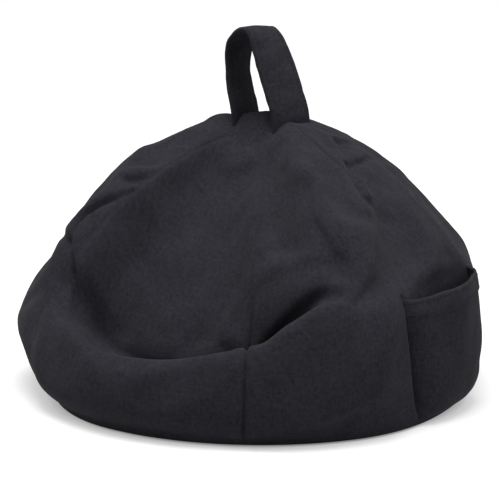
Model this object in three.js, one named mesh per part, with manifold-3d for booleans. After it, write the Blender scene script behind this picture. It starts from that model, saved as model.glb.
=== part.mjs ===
// Phone pillow stand: a bead filled fabric cushion that props up a tablet or a phone.
// Millimetres, +Z up. The ledge for the device faces -Y and the side pocket is on +X.
// The origin is the middle of the base, on the table.
import * as THREE from 'three';
import { mergeVertices } from 'three/addons/utils/BufferGeometryUtils.js';
import manifoldModule from 'manifold-3d';

// Fabric and clearances
const FABRIC = 1.6;             // cover cloth with its lining
const SEAM_GAP = 0.3;           // between pieces that are sewn or lie together

// Base
const BASE_RADIUS = 146;        // seam between the base and the side panels
const BASE_FLAT_RADIUS = 137;   // part of the base that lies on the table
const BASE_SEAM_HEIGHT = 4;

// Seams between the panels, as angles from the front
const CORNER_SEAM = 34;
const SIDE_SEAM = 78;
const PANEL_PUFF_DEPTH = 4;     // how far a panel swells between its seams
const SEAM_PULL = 0.4;          // share of that swell which the seams in front and at the sides take away
const BACK_SEAM_PULL = 0.9;

// Ledge in front: a full roll of cloth, a crease behind it, then the slope for the device
const LIP_RADIUS = 158.5;
const LIP_CREST_RADIUS = 148;
const LIP_HEIGHT = 52;
const CREASE_RADIUS = 114;
const CREASE_HEIGHT = 33;
const SLOPE_CROWN_HEIGHT = 5;   // swell of the slope between its crease and the top

// On the right the roll rises from the corner seam to its end, with a deep groove behind it.
// FULL is how far the slope swells there towards the form of the flank.
const RIGHT_CORNER_LIP_HEIGHT = 63;
const RIGHT_CORNER_CREASE_RADIUS = 118;
const RIGHT_CORNER_CREASE_HEIGHT = 42;
const RIGHT_CORNER_FULL = 0.12;
const RIGHT_MIDDLE_ANGLE = 43;
const RIGHT_MIDDLE_LIP_HEIGHT = 79;
const RIGHT_MIDDLE_CREASE_RADIUS = 126;
const RIGHT_MIDDLE_CREASE_HEIGHT = 60;
const RIGHT_MIDDLE_FULL = 0.5;
const RIGHT_END_ANGLE = 51;
const RIGHT_END_LIP_HEIGHT = 91;
const RIGHT_END_CREASE_RADIUS = 138;
const RIGHT_END_CREASE_HEIGHT = 87;
const RIGHT_END_FULL = 0.9;
const RIGHT_FLANK_ANGLE = 63;

// On the left the roll runs into a full flank, which swells beside the slope
const LEFT_NEAR_ANGLE = 27;
const LEFT_NEAR_LIP_HEIGHT = 59;
const LEFT_NEAR_CREASE_RADIUS = 119;
const LEFT_NEAR_CREASE_HEIGHT = 47;
const LEFT_NEAR_FULL = 0.2;
const LEFT_MIDDLE_ANGLE = 36;
const LEFT_MIDDLE_LIP_HEIGHT = 62;
const LEFT_MIDDLE_CREASE_RADIUS = 131;
const LEFT_MIDDLE_CREASE_HEIGHT = 66;
const LEFT_MIDDLE_FULL = 0.5;
const LEFT_END_ANGLE = 46;
const LEFT_END_LIP_HEIGHT = 68;
const LEFT_END_CREASE_RADIUS = 142;
const LEFT_END_CREASE_HEIGHT = 82;
const LEFT_END_FULL = 0.95;
const LEFT_FLANK_ANGLE = 58;

// Full flanks beside the slope, and the rounder sides and back
const FLANK_RADIUS = 158;
const FLANK_WALL_HEIGHT = 52;
const FLANK_FULLNESS = 1.22;    // 1 is an ellipse, 2 a straight cone
const BACK_ANGLE = 88;
const BACK_RADIUS = 139;
const BACK_WALL_HEIGHT = 72;
const BACK_FULLNESS = 1.42;
const BELLY_HEIGHT = 24;        // widest part of the roll in front
const SIDE_BELLY_HEIGHT = 40;   // widest part of the flanks, sides and back
const SHOULDER_RISE_HEIGHT = 4.5;   // the left shoulder is fuller than the right one
const SHOULDER_ANGLE = -62;
const SHOULDER_SPREAD = 34;

// Main folds of the slack cloth, which run down the back from the cap: angle and share of the depth
const BACK_FOLD_DEPTH = 5.5;
const BACK_FOLD_SPREAD = 9;
const BACK_FOLDS = [[-160, 0.9], [-132, 1], [-103, 0.8], [105, 0.75], [143, 1], [167, 0.8]];

// Top
const CAP_RADIUS = 21;
const CAP_SHIFT = 8;            // the top lies behind the middle of the base
const CAP_FRONT_HEIGHT = 163;
const CAP_BACK_HEIGHT = 177;
const CAP_CROWN_HEIGHT = 8;     // rise of the cap over the middle of its rim

// Carrying handle, a strap whose legs stand beside two sewn tabs
const STRAP_WIDTH = 32;
const STRAP_THICK = 3.2;
const HANDLE_LEG_X = 20;        // middle of a leg's thickness
const HANDLE_PIVOT_HEIGHT = 195;
const HANDLE_TOP_HEIGHT = 241;
const HANDLE_TOP_RADIUS = 11;
const TAB_LAP_LENGTH = 7;       // the tab reaches this far above the pivot

// Side pocket
const POCKET_SPREAD = 35;       // angle that it covers, from the side seam back
const POCKET_FOOT = 9;
const POCKET_MOUTH = 87;
const POCKET_DEPTH = 17;        // room for a phone
const POCKET_FLARE_DEPTH = 8;   // the mouth stands this much further out than the wall leans in
const POCKET_TUCK_HEIGHT = 16;  // height over which its foot turns in to the seam
const HEM_HEIGHT = 12;
const HEM_THICK = 1.2;

// Zip across the base, in a shallow channel
const ZIP_Y = 22;
const ZIP_LENGTH = 196;
const ZIP_PITCH = 5;
const CHAIN_WIDTH = 5.2;
const CHAIN_THICK = 1.9;
const CHAIN_Z = 2.9;
const TAPE_WIDTH = 14;
const TAPE_THICK = 0.8;
const CHANNEL_HEIGHT = 3.2;
const CHANNEL_WIDTH = 32;
const CHANNEL_END = 14;         // the channel runs this far past each end of the zip
const CHANNEL_SLOPE = 5;
const SLIT_WIDTH = 9.4;
const SLIDER_LENGTH = 12;
const SLIDER_WALL = 1.3;
const STOP_LENGTH = 3.5;

// Filling
const BAFFLE_THICK = 1.2;       // inner cloth wall between the two bead bags
const LEDGE_SPREAD = 50;        // the ledge bag ends this far round from the front

// How finely the curved pieces are cut into facets
const ROWS_PER_SPAN = 2;
const LEDGE_COLUMN_DEGREES = 5.7;
const BACK_COLUMN_DEGREES = 7.3;

const wasm = await manifoldModule();
wasm.setup();
const { Manifold, Mesh: ManifoldMesh } = wasm;

const radians = THREE.MathUtils.degToRad;
const ease = (x) => THREE.MathUtils.smoothstep(x, 0, 1);
const mix = THREE.MathUtils.lerp;

function toManifold(geometry) {
  const bare = new THREE.BufferGeometry();
  bare.setAttribute('position', geometry.getAttribute('position').clone());
  if (geometry.index) bare.setIndex(geometry.index.clone());
  const joined = mergeVertices(bare, 1e-5);
  const mesh = new ManifoldMesh({
    numProp: 3,
    vertProperties: new Float32Array(joined.getAttribute('position').array),
    triVerts: new Uint32Array(joined.index.array),
  });
  mesh.merge();
  return new Manifold(mesh);
}

function toGeometry(solid) {
  const mesh = solid.getMesh();
  const geometry = new THREE.BufferGeometry();
  geometry.setAttribute('position', new THREE.BufferAttribute(mesh.vertProperties, 3));
  geometry.setIndex(new THREE.BufferAttribute(mesh.triVerts, 1));
  geometry.computeVertexNormals();
  return geometry;
}

// Profiles: each is a list of [radius, height] points from the base seam up to the rim of the cap

function domeProfile(radius, wallHeight, fullness, capHeight) {
  const dome = [18, 26, 36, 49, 63, 78, 90].map((turn) => [
    CAP_RADIUS + (radius - CAP_RADIUS) * Math.abs(Math.cos(radians(turn))) ** fullness,
    wallHeight + (capHeight - wallHeight) * Math.sin(radians(turn)) ** fullness,
  ]);
  return [
    [BASE_RADIUS, BASE_SEAM_HEIGHT],
    [radius, SIDE_BELLY_HEIGHT],
    ...dome,
  ];
}

function ledgeProfile(lipHeight, creaseRadius, creaseHeight, full, capHeight) {
  const lower = [
    [BASE_RADIUS, BASE_SEAM_HEIGHT],
    [LIP_RADIUS, BELLY_HEIGHT],
    [LIP_CREST_RADIUS, lipHeight],
    [creaseRadius, creaseHeight],
  ];
  const dome = domeProfile(FLANK_RADIUS, FLANK_WALL_HEIGHT, FLANK_FULLNESS, capHeight);
  const slope = [0.12, 0.42, 0.68, 0.87, 1].map((along, k) => {
    const swell = SLOPE_CROWN_HEIGHT * Math.sin(Math.PI * along);
    const [domeRadius, domeHeight] = dome[lower.length + k];
    return [
      mix(mix(creaseRadius, CAP_RADIUS, along) + swell, domeRadius, full),
      mix(mix(creaseHeight, capHeight, along) + 0.7 * swell, domeHeight, full),
    ];
  });
  return [...lower, ...slope];
}

const capRimHeight = (angle) =>
  mix(CAP_FRONT_HEIGHT, CAP_BACK_HEIGHT, ease(Math.min(Math.abs(angle) / BACK_ANGLE, 1)));

// The profiles that the cushion passes through, from the front round to the back on each side
const ledgeStation = (angle, ...sizes) => [angle, ledgeProfile(...sizes, capRimHeight(angle))];
const domeStation = (angle, ...sizes) => [angle, domeProfile(...sizes, capRimHeight(angle))];
const FRONT_STATION = ledgeStation(0, LIP_HEIGHT, CREASE_RADIUS, CREASE_HEIGHT, 0);
const BACK_STATION = domeStation(BACK_ANGLE, BACK_RADIUS, BACK_WALL_HEIGHT, BACK_FULLNESS);
const flankStation = (angle) => domeStation(angle, FLANK_RADIUS, FLANK_WALL_HEIGHT, FLANK_FULLNESS);

const RIGHT_STATIONS = [
  FRONT_STATION,
  ledgeStation(CORNER_SEAM, RIGHT_CORNER_LIP_HEIGHT, RIGHT_CORNER_CREASE_RADIUS,
    RIGHT_CORNER_CREASE_HEIGHT, RIGHT_CORNER_FULL),
  ledgeStation(RIGHT_MIDDLE_ANGLE, RIGHT_MIDDLE_LIP_HEIGHT, RIGHT_MIDDLE_CREASE_RADIUS,
    RIGHT_MIDDLE_CREASE_HEIGHT, RIGHT_MIDDLE_FULL),
  ledgeStation(RIGHT_END_ANGLE, RIGHT_END_LIP_HEIGHT, RIGHT_END_CREASE_RADIUS,
    RIGHT_END_CREASE_HEIGHT, RIGHT_END_FULL),
  flankStation(RIGHT_FLANK_ANGLE),
  BACK_STATION,
];

const LEFT_STATIONS = [
  FRONT_STATION,
  ledgeStation(LEFT_NEAR_ANGLE, LEFT_NEAR_LIP_HEIGHT, LEFT_NEAR_CREASE_RADIUS,
    LEFT_NEAR_CREASE_HEIGHT, LEFT_NEAR_FULL),
  ledgeStation(LEFT_MIDDLE_ANGLE, LEFT_MIDDLE_LIP_HEIGHT, LEFT_MIDDLE_CREASE_RADIUS,
    LEFT_MIDDLE_CREASE_HEIGHT, LEFT_MIDDLE_FULL),
  ledgeStation(LEFT_END_ANGLE, LEFT_END_LIP_HEIGHT, LEFT_END_CREASE_RADIUS,
    LEFT_END_CREASE_HEIGHT, LEFT_END_FULL),
  flankStation(LEFT_FLANK_ANGLE),
  BACK_STATION,
];

// The panels of the cover in order round the cushion, each from seam to seam
const PANELS = {
  back_left_panel: [-180, -SIDE_SEAM],
  left_side_panel: [-SIDE_SEAM, -CORNER_SEAM],
  front_panel: [-CORNER_SEAM, CORNER_SEAM],
  right_side_panel: [CORNER_SEAM, SIDE_SEAM],
  back_right_panel: [SIDE_SEAM, 180],
};
// How much of the panels' swell, the back folds and the shoulder each point of a profile takes
const PUFF_SHARE = [0, 1, 1, 0.2, 0.5, 1, 1, 0.6, 0];
const FOLD_SHARE = [0, 0.15, 0.3, 0.55, 0.85, 1, 1, 0.6, 0];
const SHOULDER_SHARE = [0, 0, 0, 0, 0, 0.5, 1, 1, 0];
const ROWS = (PUFF_SHARE.length - 1) * ROWS_PER_SPAN;

// Share of the puff at an angle: least at a seam, most in the middle of a panel
function puffAt(angle) {
  const side = Math.abs(angle);
  let from = -CORNER_SEAM;
  let to = CORNER_SEAM;
  if (side > CORNER_SEAM) [from, to] = [CORNER_SEAM, SIDE_SEAM];
  if (side > SIDE_SEAM) [from, to] = [SIDE_SEAM, 180];
  const across = (2 * (side - from)) / (to - from) - 1;
  const pull = side > SIDE_SEAM && across > 0 ? BACK_SEAM_PULL : SEAM_PULL;
  return 1 - pull * across ** 4;
}

// How deep the back folds are at an angle
function foldAt(angle) {
  return BACK_FOLDS.reduce((depth, [middle, share]) => {
    const gap = THREE.MathUtils.euclideanModulo(angle - middle + 180, 360) - 180;
    return depth + BACK_FOLD_DEPTH * share * Math.exp(-((gap / BACK_FOLD_SPREAD) ** 2));
  }, 0);
}

// How steeply one size of one profile point changes at a station; level where it turns
function rise(stations, k, point, size) {
  if (k === 0 || k === stations.length - 1) return 0;
  const step = (a, b) =>
    (stations[b][1][point][size] - stations[a][1][point][size]) / (stations[b][0] - stations[a][0]);
  const before = step(k - 1, k);
  const after = step(k, k + 1);
  return before * after > 0 ? (2 * before * after) / (before + after) : 0;
}

// The cushion's outline at one angle, as a smooth curve of (radius, 0, height)
function meridian(angle) {
  const side = Math.min(Math.abs(angle), BACK_ANGLE);
  const stations = angle < 0 ? LEFT_STATIONS : RIGHT_STATIONS;
  const last = stations.length - 1;
  let next = 1;
  while (next < last && side > stations[next][0]) next += 1;
  const [fromAngle, from] = stations[next - 1];
  const [toAngle, to] = stations[next];
  const span = toAngle - fromAngle;
  const t = (side - fromAngle) / span;
  const at = (point, size) => mix(from[point][size], to[point][size], ease(t))
    + span * t * (1 - t) * ((1 - t) * rise(stations, next - 1, point, size)
      - t * rise(stations, next, point, size));
  const puff = PANEL_PUFF_DEPTH * puffAt(angle);
  const fold = foldAt(angle);
  const shoulder = SHOULDER_RISE_HEIGHT
    * Math.exp(-(((angle - SHOULDER_ANGLE) / SHOULDER_SPREAD) ** 2));
  const points = from.map((_, k) => new THREE.Vector3(
    at(k, 0) + puff * PUFF_SHARE[k] - fold * FOLD_SHARE[k] + shoulder * SHOULDER_SHARE[k],
    0,
    at(k, 1) + 0.7 * shoulder * SHOULDER_SHARE[k],
  ));
  points[points.length - 1].z = capRimHeight(angle);
  return new THREE.CatmullRomCurve3(points, false, 'centripetal');
}

// A point (radius, height) at an angle; the higher it lies, the further back its centre
function place(angle, radius, height) {
  const turn = radians(angle);
  const shift = CAP_SHIFT * THREE.MathUtils.clamp(height / CAP_BACK_HEIGHT, 0, 1);
  return new THREE.Vector3(radius * Math.sin(turn), shift - radius * Math.cos(turn), height);
}

// The rows of the cover at one angle, a given depth inside its outer face.
// The two edges are cut square, so that the base and the cap butt against them.
function coverRows(angle, depth) {
  const curve = meridian(angle);
  const rows = [];
  for (let row = 0; row <= ROWS; row += 1) {
    const point = curve.getPoint(row / ROWS);
    const along = curve.getTangent(row / ROWS);
    const inward = new THREE.Vector2(-along.z, along.x);
    if (row === 0) inward.set(-1, 0);
    if (row === ROWS) inward.set(0, -1);
    rows.push([point.x + inward.x * depth, point.z + inward.y * depth]);
  }
  return rows;
}

// A closed solid between two grids of points, given as rows from low to high
function shellBetween(outer, inner) {
  const rows = outer.length;
  const columns = outer[0].length;
  const points = [...outer.flat(), ...inner.flat()];
  const out = (row, column) => row * columns + column;
  const ins = (row, column) => rows * columns + out(row, column);
  const index = [];
  const quad = (a, b, c, d) => index.push(a, b, c, a, c, d);
  for (let r = 0; r < rows - 1; r += 1) {
    for (let c = 0; c < columns - 1; c += 1) {
      quad(out(r, c), out(r, c + 1), out(r + 1, c + 1), out(r + 1, c));
      quad(ins(r, c), ins(r + 1, c), ins(r + 1, c + 1), ins(r, c + 1));
    }
    const end = columns - 1;
    quad(out(r, 0), out(r + 1, 0), ins(r + 1, 0), ins(r, 0));
    quad(ins(r, end), ins(r + 1, end), out(r + 1, end), out(r, end));
  }
  for (let c = 0; c < columns - 1; c += 1) {
    const top = rows - 1;
    quad(ins(0, c), ins(0, c + 1), out(0, c + 1), out(0, c));
    quad(out(top, c), out(top, c + 1), ins(top, c + 1), ins(top, c));
  }
  const geometry = new THREE.BufferGeometry().setFromPoints(points);
  geometry.setIndex(index);
  geometry.computeVertexNormals();
  return geometry;
}

// The angles at which a panel is cut into columns, from seam to seam
function panelAngles(fromAngle, toAngle) {
  const atBack = Math.max(Math.abs(fromAngle), Math.abs(toAngle)) > SIDE_SEAM;
  const step = atBack ? BACK_COLUMN_DEGREES : LEDGE_COLUMN_DEGREES;
  const columns = Math.ceil((toAngle - fromAngle) / step);
  return Array.from({ length: columns + 1 }, (_, c) => mix(fromAngle, toAngle, c / columns));
}

// One panel of the cover between two seam angles
function coverPanel([fromAngle, toAngle]) {
  const angles = panelAngles(fromAngle, toAngle);
  const columns = angles.length - 1;
  const outer = [];
  const inner = [];
  for (let row = 0; row <= ROWS; row += 1) {
    outer.push([]);
    inner.push([]);
  }
  angles.forEach((angle, column) => {
    const trim = column === 0 ? 1 : column === columns ? -1 : 0;
    const outerRows = coverRows(angle, 0);
    const innerRows = coverRows(angle, FABRIC);
    outerRows.forEach(([radius, height], row) => {
      const [innerRadius, innerHeight] = innerRows[row];
      const least = Math.min(radius, innerRadius);
      const turned = angle + trim * THREE.MathUtils.radToDeg(SEAM_GAP / 2 / least);
      outer[row].push(place(turned, radius, height));
      inner[row].push(place(turned, innerRadius, innerHeight));
    });
  });
  return shellBetween(outer, inner);
}

const CAP_RINGS = [0.75, 0.4];

const capHeight = (angle, share) =>
  mix(CAP_BACK_HEIGHT - CAP_CROWN_HEIGHT / 4 + CAP_CROWN_HEIGHT, capRimHeight(angle), share ** 2);

// The edge of the base, turned up to the seam, at a given depth inside its outer face
function baseEdge(depth, top) {
  const points = [];
  for (let turn = 0; turn <= 90; turn += 22.5) {
    points.push([
      BASE_FLAT_RADIUS + (BASE_RADIUS - depth - BASE_FLAT_RADIUS) * Math.sin(radians(turn)),
      depth + (top - depth) * (1 - Math.cos(radians(turn))),
    ]);
  }
  return points;
}

// A closed solid round the upright axis: the same angles as the panels' columns, and at each angle
// a list of [radius, height] from the middle of its under side to the middle of its top
function roundSolid(footHeight, topHeight, rowsAt) {
  const angles = Object.values(PANELS).flatMap(([from, to]) => panelAngles(from, to).slice(0, -1));
  const columns = angles.length;
  const rings = angles.map((angle) =>
    rowsAt(angle).map(([radius, height]) => place(angle, radius, height)));
  const rows = rings[0].length;
  const points = [...rings.flat(), place(0, 0, footHeight), place(0, 0, topHeight)];
  const foot = columns * rows;
  const at = (column, row) => (column % columns) * rows + row;
  const index = [];
  for (let c = 0; c < columns; c += 1) {
    index.push(foot, at(c + 1, 0), at(c, 0));
    index.push(foot + 1, at(c, rows - 1), at(c + 1, rows - 1));
    for (let r = 0; r < rows - 1; r += 1) {
      index.push(at(c, r), at(c + 1, r), at(c + 1, r + 1));
      index.push(at(c, r), at(c + 1, r + 1), at(c, r + 1));
    }
  }
  const geometry = new THREE.BufferGeometry().setFromPoints(points);
  geometry.setIndex(index);
  geometry.computeVertexNormals();
  return geometry;
}

const capRings = (angle, depth, shares) =>
  shares.map((share) => [CAP_RADIUS * share, capHeight(angle, share) - depth]);

// The whole cushion, a given depth inside its outer face
function cushionAt(depth) {
  return toManifold(roundSolid(depth, capHeight(0, 0) - depth, (angle) => [
    ...baseEdge(depth, BASE_SEAM_HEIGHT).slice(0, -1),
    ...coverRows(angle, depth),
    ...capRings(angle, depth, CAP_RINGS),
  ]));
}

function box(x0, x1, y0, y1, z0, z1) {
  const geometry = new THREE.BoxGeometry(x1 - x0, y1 - y0, z1 - z0);
  return geometry.translate((x0 + x1) / 2, (y0 + y1) / 2, (z0 + z1) / 2);
}

// A low block on the table whose four sides lean in towards its top
function leaningBlock(length, width, height, lean) {
  const geometry = new THREE.BoxGeometry(length, width, height).translate(0, ZIP_Y, height / 2);
  const points = geometry.getAttribute('position');
  for (let i = 0; i < points.count; i += 1) {
    if (points.getZ(i) < height / 2) continue;
    points.setX(i, points.getX(i) - lean * Math.sign(points.getX(i)));
    points.setY(i, points.getY(i) - lean * Math.sign(points.getY(i) - ZIP_Y));
  }
  return geometry;
}

// Cap: a shallow dome whose rim butts against the panels
function topCap() {
  const rings = [1 - SEAM_GAP / CAP_RADIUS, ...CAP_RINGS];
  return roundSolid(capHeight(0, 0) - FABRIC, capHeight(0, 0), (angle) => [
    ...capRings(angle, FABRIC, rings).reverse(),
    ...capRings(angle, 0, rings),
  ]);
}

// Base: a flat disc with a turned up edge and a channel for the zip, cut in two along the zip
function baseSheet() {
  const top = BASE_SEAM_HEIGHT - SEAM_GAP;
  const disc = roundSolid(0, FABRIC, () => [...baseEdge(0, top), ...baseEdge(FABRIC, top).reverse()]);
  const length = ZIP_LENGTH + 2 * CHANNEL_END;
  const roof = CHANNEL_HEIGHT + FABRIC;
  const grow = 2 * FABRIC;
  const raised = leaningBlock(length + grow, CHANNEL_WIDTH + grow, roof, CHANNEL_SLOPE);
  const hollow = leaningBlock(length + 2 * CHANNEL_SLOPE, CHANNEL_WIDTH + 2 * CHANNEL_SLOPE,
    2 * CHANNEL_HEIGHT, 2 * CHANNEL_SLOPE).translate(0, 0, -CHANNEL_HEIGHT);
  const slitEnd = ZIP_LENGTH / 2 + STOP_LENGTH + 2 * SEAM_GAP;
  const slitSide = SLIT_WIDTH / 2;
  const slit = box(-slitEnd, slitEnd, ZIP_Y - slitSide, ZIP_Y + slitSide, -roof, 2 * roof);
  return toManifold(disc).add(toManifold(raised)).subtract(toManifold(hollow)).subtract(toManifold(slit));
}

function baseHalf(sign) {
  const far = 2 * BASE_RADIUS;
  const near = ZIP_Y + (sign * SEAM_GAP) / 2;
  const side = sign > 0 ? box(-far, far, near, far, -1, far) : box(-far, far, -far, near, -1, far);
  return toGeometry(baseSheet().intersect(toManifold(side)));
}

// Zip: two tapes inside the base, a toothed chain in the slit, a slider and two end stops
const TAPE_Z = CHANNEL_HEIGHT + FABRIC + SEAM_GAP;

function zipTape(sign) {
  const near = ZIP_Y + sign * SEAM_GAP;
  const far = ZIP_Y + sign * TAPE_WIDTH;
  const half = ZIP_LENGTH / 2 + STOP_LENGTH + SEAM_GAP;
  return box(-half, half, Math.min(near, far), Math.max(near, far), TAPE_Z, TAPE_Z + TAPE_THICK);
}

function zipChain() {
  const teeth = Math.round(ZIP_LENGTH / ZIP_PITCH);
  const pitch = ZIP_LENGTH / teeth;
  const wide = CHAIN_WIDTH / 2;
  const narrow = 0.68 * wide;
  const edge = [];
  for (let tooth = 0; tooth < teeth; tooth += 1) {
    const start = -ZIP_LENGTH / 2 + tooth * pitch;
    edge.push([start, narrow], [start + 0.2 * pitch, wide]);
    edge.push([start + 0.55 * pitch, wide], [start + 0.75 * pitch, narrow]);
  }
  edge.push([ZIP_LENGTH / 2, narrow]);
  const back = edge.map(([x, y]) => [x, -y]).reverse();
  const shape = new THREE.Shape([...edge, ...back].map(([x, y]) => new THREE.Vector2(x, y)));
  const chain = new THREE.ExtrudeGeometry(shape, { depth: CHAIN_THICK, bevelEnabled: false });
  return chain.translate(0, ZIP_Y, CHAIN_Z);
}

const SLIDER_X = ZIP_LENGTH / 2 - SLIDER_LENGTH / 2;

function zipSlider() {
  const inside = CHAIN_WIDTH / 2 + SEAM_GAP;
  const outside = inside + SLIDER_WALL;
  const floor = CHAIN_Z - SEAM_GAP;
  const top = CHAIN_Z + CHAIN_THICK - SEAM_GAP;
  const shape = new THREE.Shape();
  shape.moveTo(-0.5 * SLIDER_LENGTH, -outside);
  shape.lineTo(0.2 * SLIDER_LENGTH, -outside);
  shape.quadraticCurveTo(0.5 * SLIDER_LENGTH, -outside, 0.5 * SLIDER_LENGTH, 0);
  shape.quadraticCurveTo(0.5 * SLIDER_LENGTH, outside, 0.2 * SLIDER_LENGTH, outside);
  shape.lineTo(-0.5 * SLIDER_LENGTH, outside);
  const sole = floor - SLIDER_WALL;
  const options = { depth: top - sole, bevelEnabled: false, curveSegments: 5 };
  const body = new THREE.ExtrudeGeometry(shape, options).translate(SLIDER_X, ZIP_Y, sole);
  const reach = SLIDER_LENGTH;
  const way = box(SLIDER_X - reach, SLIDER_X + reach, ZIP_Y - inside, ZIP_Y + inside,
    floor, top + SLIDER_WALL);
  return toGeometry(toManifold(body).subtract(toManifold(way)));
}

function zipStop(sign) {
  const near = sign * (ZIP_LENGTH / 2 + SEAM_GAP);
  const far = near + sign * STOP_LENGTH;
  const side = CHAIN_WIDTH / 2;
  return box(Math.min(near, far), Math.max(near, far), ZIP_Y - side, ZIP_Y + side,
    CHAIN_Z, CHAIN_Z + CHAIN_THICK);
}

// Handle: an arch of strap; its lower ends are rounded about the line that it swings on
function handleLoop() {
  const outerX = HANDLE_LEG_X + STRAP_THICK / 2;
  const innerX = HANDLE_LEG_X - STRAP_THICK / 2;
  const foot = HANDLE_PIVOT_HEIGHT - STRAP_WIDTH / 2;
  const straight = HANDLE_PIVOT_HEIGHT + STRAP_WIDTH / 3;
  const arch = (x, top, radius) => {
    const bend = top - radius;
    return (shape, sign) => (sign < 0
      ? shape.bezierCurveTo(-x, mix(straight, bend, 0.6), -radius * 1.5, top, 0, top)
      : shape.bezierCurveTo(radius * 1.5, top, x, mix(straight, bend, 0.6), x, straight));
  };
  const outerArch = arch(outerX, HANDLE_TOP_HEIGHT, HANDLE_TOP_RADIUS);
  const shape = new THREE.Shape();
  shape.moveTo(-outerX, foot);
  shape.lineTo(-outerX, straight);
  outerArch(shape, -1);
  outerArch(shape, 1);
  shape.lineTo(outerX, foot);
  shape.lineTo(innerX, foot);
  shape.lineTo(innerX, straight);
  const innerTop = HANDLE_TOP_HEIGHT - STRAP_THICK;
  const innerBend = innerTop - HANDLE_TOP_RADIUS;
  const tight = HANDLE_TOP_RADIUS * 1.5 - STRAP_THICK * 0.6;
  shape.bezierCurveTo(innerX, mix(straight, innerBend, 0.6), tight, innerTop, 0, innerTop);
  shape.bezierCurveTo(-tight, innerTop, -innerX, mix(straight, innerBend, 0.6), -innerX, straight);
  shape.lineTo(-innerX, foot);
  const strap = new THREE.ExtrudeGeometry(shape,
    { depth: STRAP_WIDTH, bevelEnabled: false, curveSegments: 8 });
  strap.rotateX(Math.PI / 2).translate(0, CAP_SHIFT + STRAP_WIDTH / 2, 0);
  const round = new THREE.CylinderGeometry(STRAP_WIDTH / 2, STRAP_WIDTH / 2, 4 * HANDLE_LEG_X, 32);
  round.rotateZ(Math.PI / 2).translate(0, CAP_SHIFT, HANDLE_PIVOT_HEIGHT);
  const above = box(-2 * HANDLE_LEG_X, 2 * HANDLE_LEG_X, CAP_SHIFT - STRAP_WIDTH,
    CAP_SHIFT + STRAP_WIDTH, HANDLE_PIVOT_HEIGHT, 2 * HANDLE_TOP_HEIGHT);
  return toGeometry(toManifold(strap).intersect(toManifold(round).add(toManifold(above))));
}

// Tab: the sewn end of the strap, standing on the cushion just inside a leg of the handle
function handleTab(sign) {
  const outside = HANDLE_LEG_X - STRAP_THICK / 2 - SEAM_GAP;
  const x0 = Math.min(sign * outside, sign * (outside - STRAP_THICK));
  const top = HANDLE_PIVOT_HEIGHT + TAB_LAP_LENGTH;
  const half = STRAP_WIDTH / 2;
  const corner = TAB_LAP_LENGTH;
  const shape = new THREE.Shape();
  shape.moveTo(-half, CAP_FRONT_HEIGHT);
  shape.lineTo(-half, top - corner);
  shape.absarc(-half + corner, top - corner, corner, Math.PI, Math.PI / 2, true);
  shape.absarc(half - corner, top - corner, corner, Math.PI / 2, 0, true);
  shape.lineTo(half, CAP_FRONT_HEIGHT);
  const tab = new THREE.ExtrudeGeometry(shape,
    { depth: STRAP_THICK, bevelEnabled: false, curveSegments: 6 });
  tab.rotateX(Math.PI / 2).rotateZ(Math.PI / 2).translate(x0, CAP_SHIFT, 0);
  return toGeometry(toManifold(tab).subtract(cushionAt(-SEAM_GAP)));
}

// Where the upright wall of the cushion lies at an angle and a height
function wallRadius(angle, height) {
  const curve = meridian(angle);
  let low = 0;
  let high = 0.6;
  for (let step = 0; step < 24; step += 1) {
    const middle = (low + high) / 2;
    if (curve.getPoint(middle).z < height) low = middle;
    else high = middle;
  }
  return curve.getPoint(low).x;
}

const POCKET_FACING = SIDE_SEAM + POCKET_SPREAD / 2;

// A sheet that stands off the wall as the pocket does, between two heights
function pocketSheet(footHeight, topHeight, standOff, thick, rows) {
  const columns = 12;
  const facing = place(POCKET_FACING, 1, 0);
  const outer = [];
  const inner = [];
  for (let row = 0; row <= rows; row += 1) {
    const height = mix(footHeight, topHeight, (row / rows) ** 1.3);
    const tuck = Math.min((height - POCKET_FOOT) / POCKET_TUCK_HEIGHT, 1);
    const rise = Math.sqrt(1 - (1 - tuck) ** 2);
    const lift = (height - POCKET_FOOT) / (POCKET_MOUTH - POCKET_FOOT);
    outer.push([]);
    inner.push([]);
    for (let column = 0; column <= columns; column += 1) {
      const across = Math.sin((column / columns - 0.5) * Math.PI);
      const angle = POCKET_FACING + (POCKET_SPREAD / 2) * across;
      const room = (POCKET_DEPTH * rise + POCKET_FLARE_DEPTH * lift ** 2) * (1 - across ** 8);
      const wall = place(angle, wallRadius(angle, height) + 2 * SEAM_GAP, height);
      inner[row].push(wall.clone().addScaledVector(facing, room + standOff));
      outer[row].push(wall.clone().addScaledVector(facing, room + standOff + thick));
    }
  }
  return shellBetween(outer, inner);
}

// Filling: the cushion's inside, shared by a large bag and a ledge bag with a cloth wall between

// Plan of the ledge's room, grown by a margin; its back follows the crease
function ledgeRoom(margin) {
  const far = 2 * LIP_RADIUS;
  const steps = 14;
  const points = [];
  for (let step = 0; step <= steps; step += 1) {
    const angle = mix(-LEDGE_SPREAD, LEDGE_SPREAD, step / steps);
    const crease = meridian(angle).points[3].x;
    const side = (margin / crease) * Math.sign(angle) * (step === 0 || step === steps ? 1 : 0);
    const spot = place(angle + THREE.MathUtils.radToDeg(side), crease - margin, 0);
    points.push(new THREE.Vector2(spot.x, spot.y));
  }
  for (const sign of [1, -1]) {
    const turn = radians(sign * LEDGE_SPREAD);
    points.push(new THREE.Vector2(
      far * Math.sin(turn) + sign * margin * Math.cos(turn),
      -far * Math.cos(turn) + sign * margin * Math.sin(turn) * sign,
    ));
  }
  const shape = new THREE.Shape(points);
  const options = { depth: 2 * CAP_BACK_HEIGHT, bevelEnabled: false };
  return toManifold(new THREE.ExtrudeGeometry(shape, options).translate(0, 0, -1));
}

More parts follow.
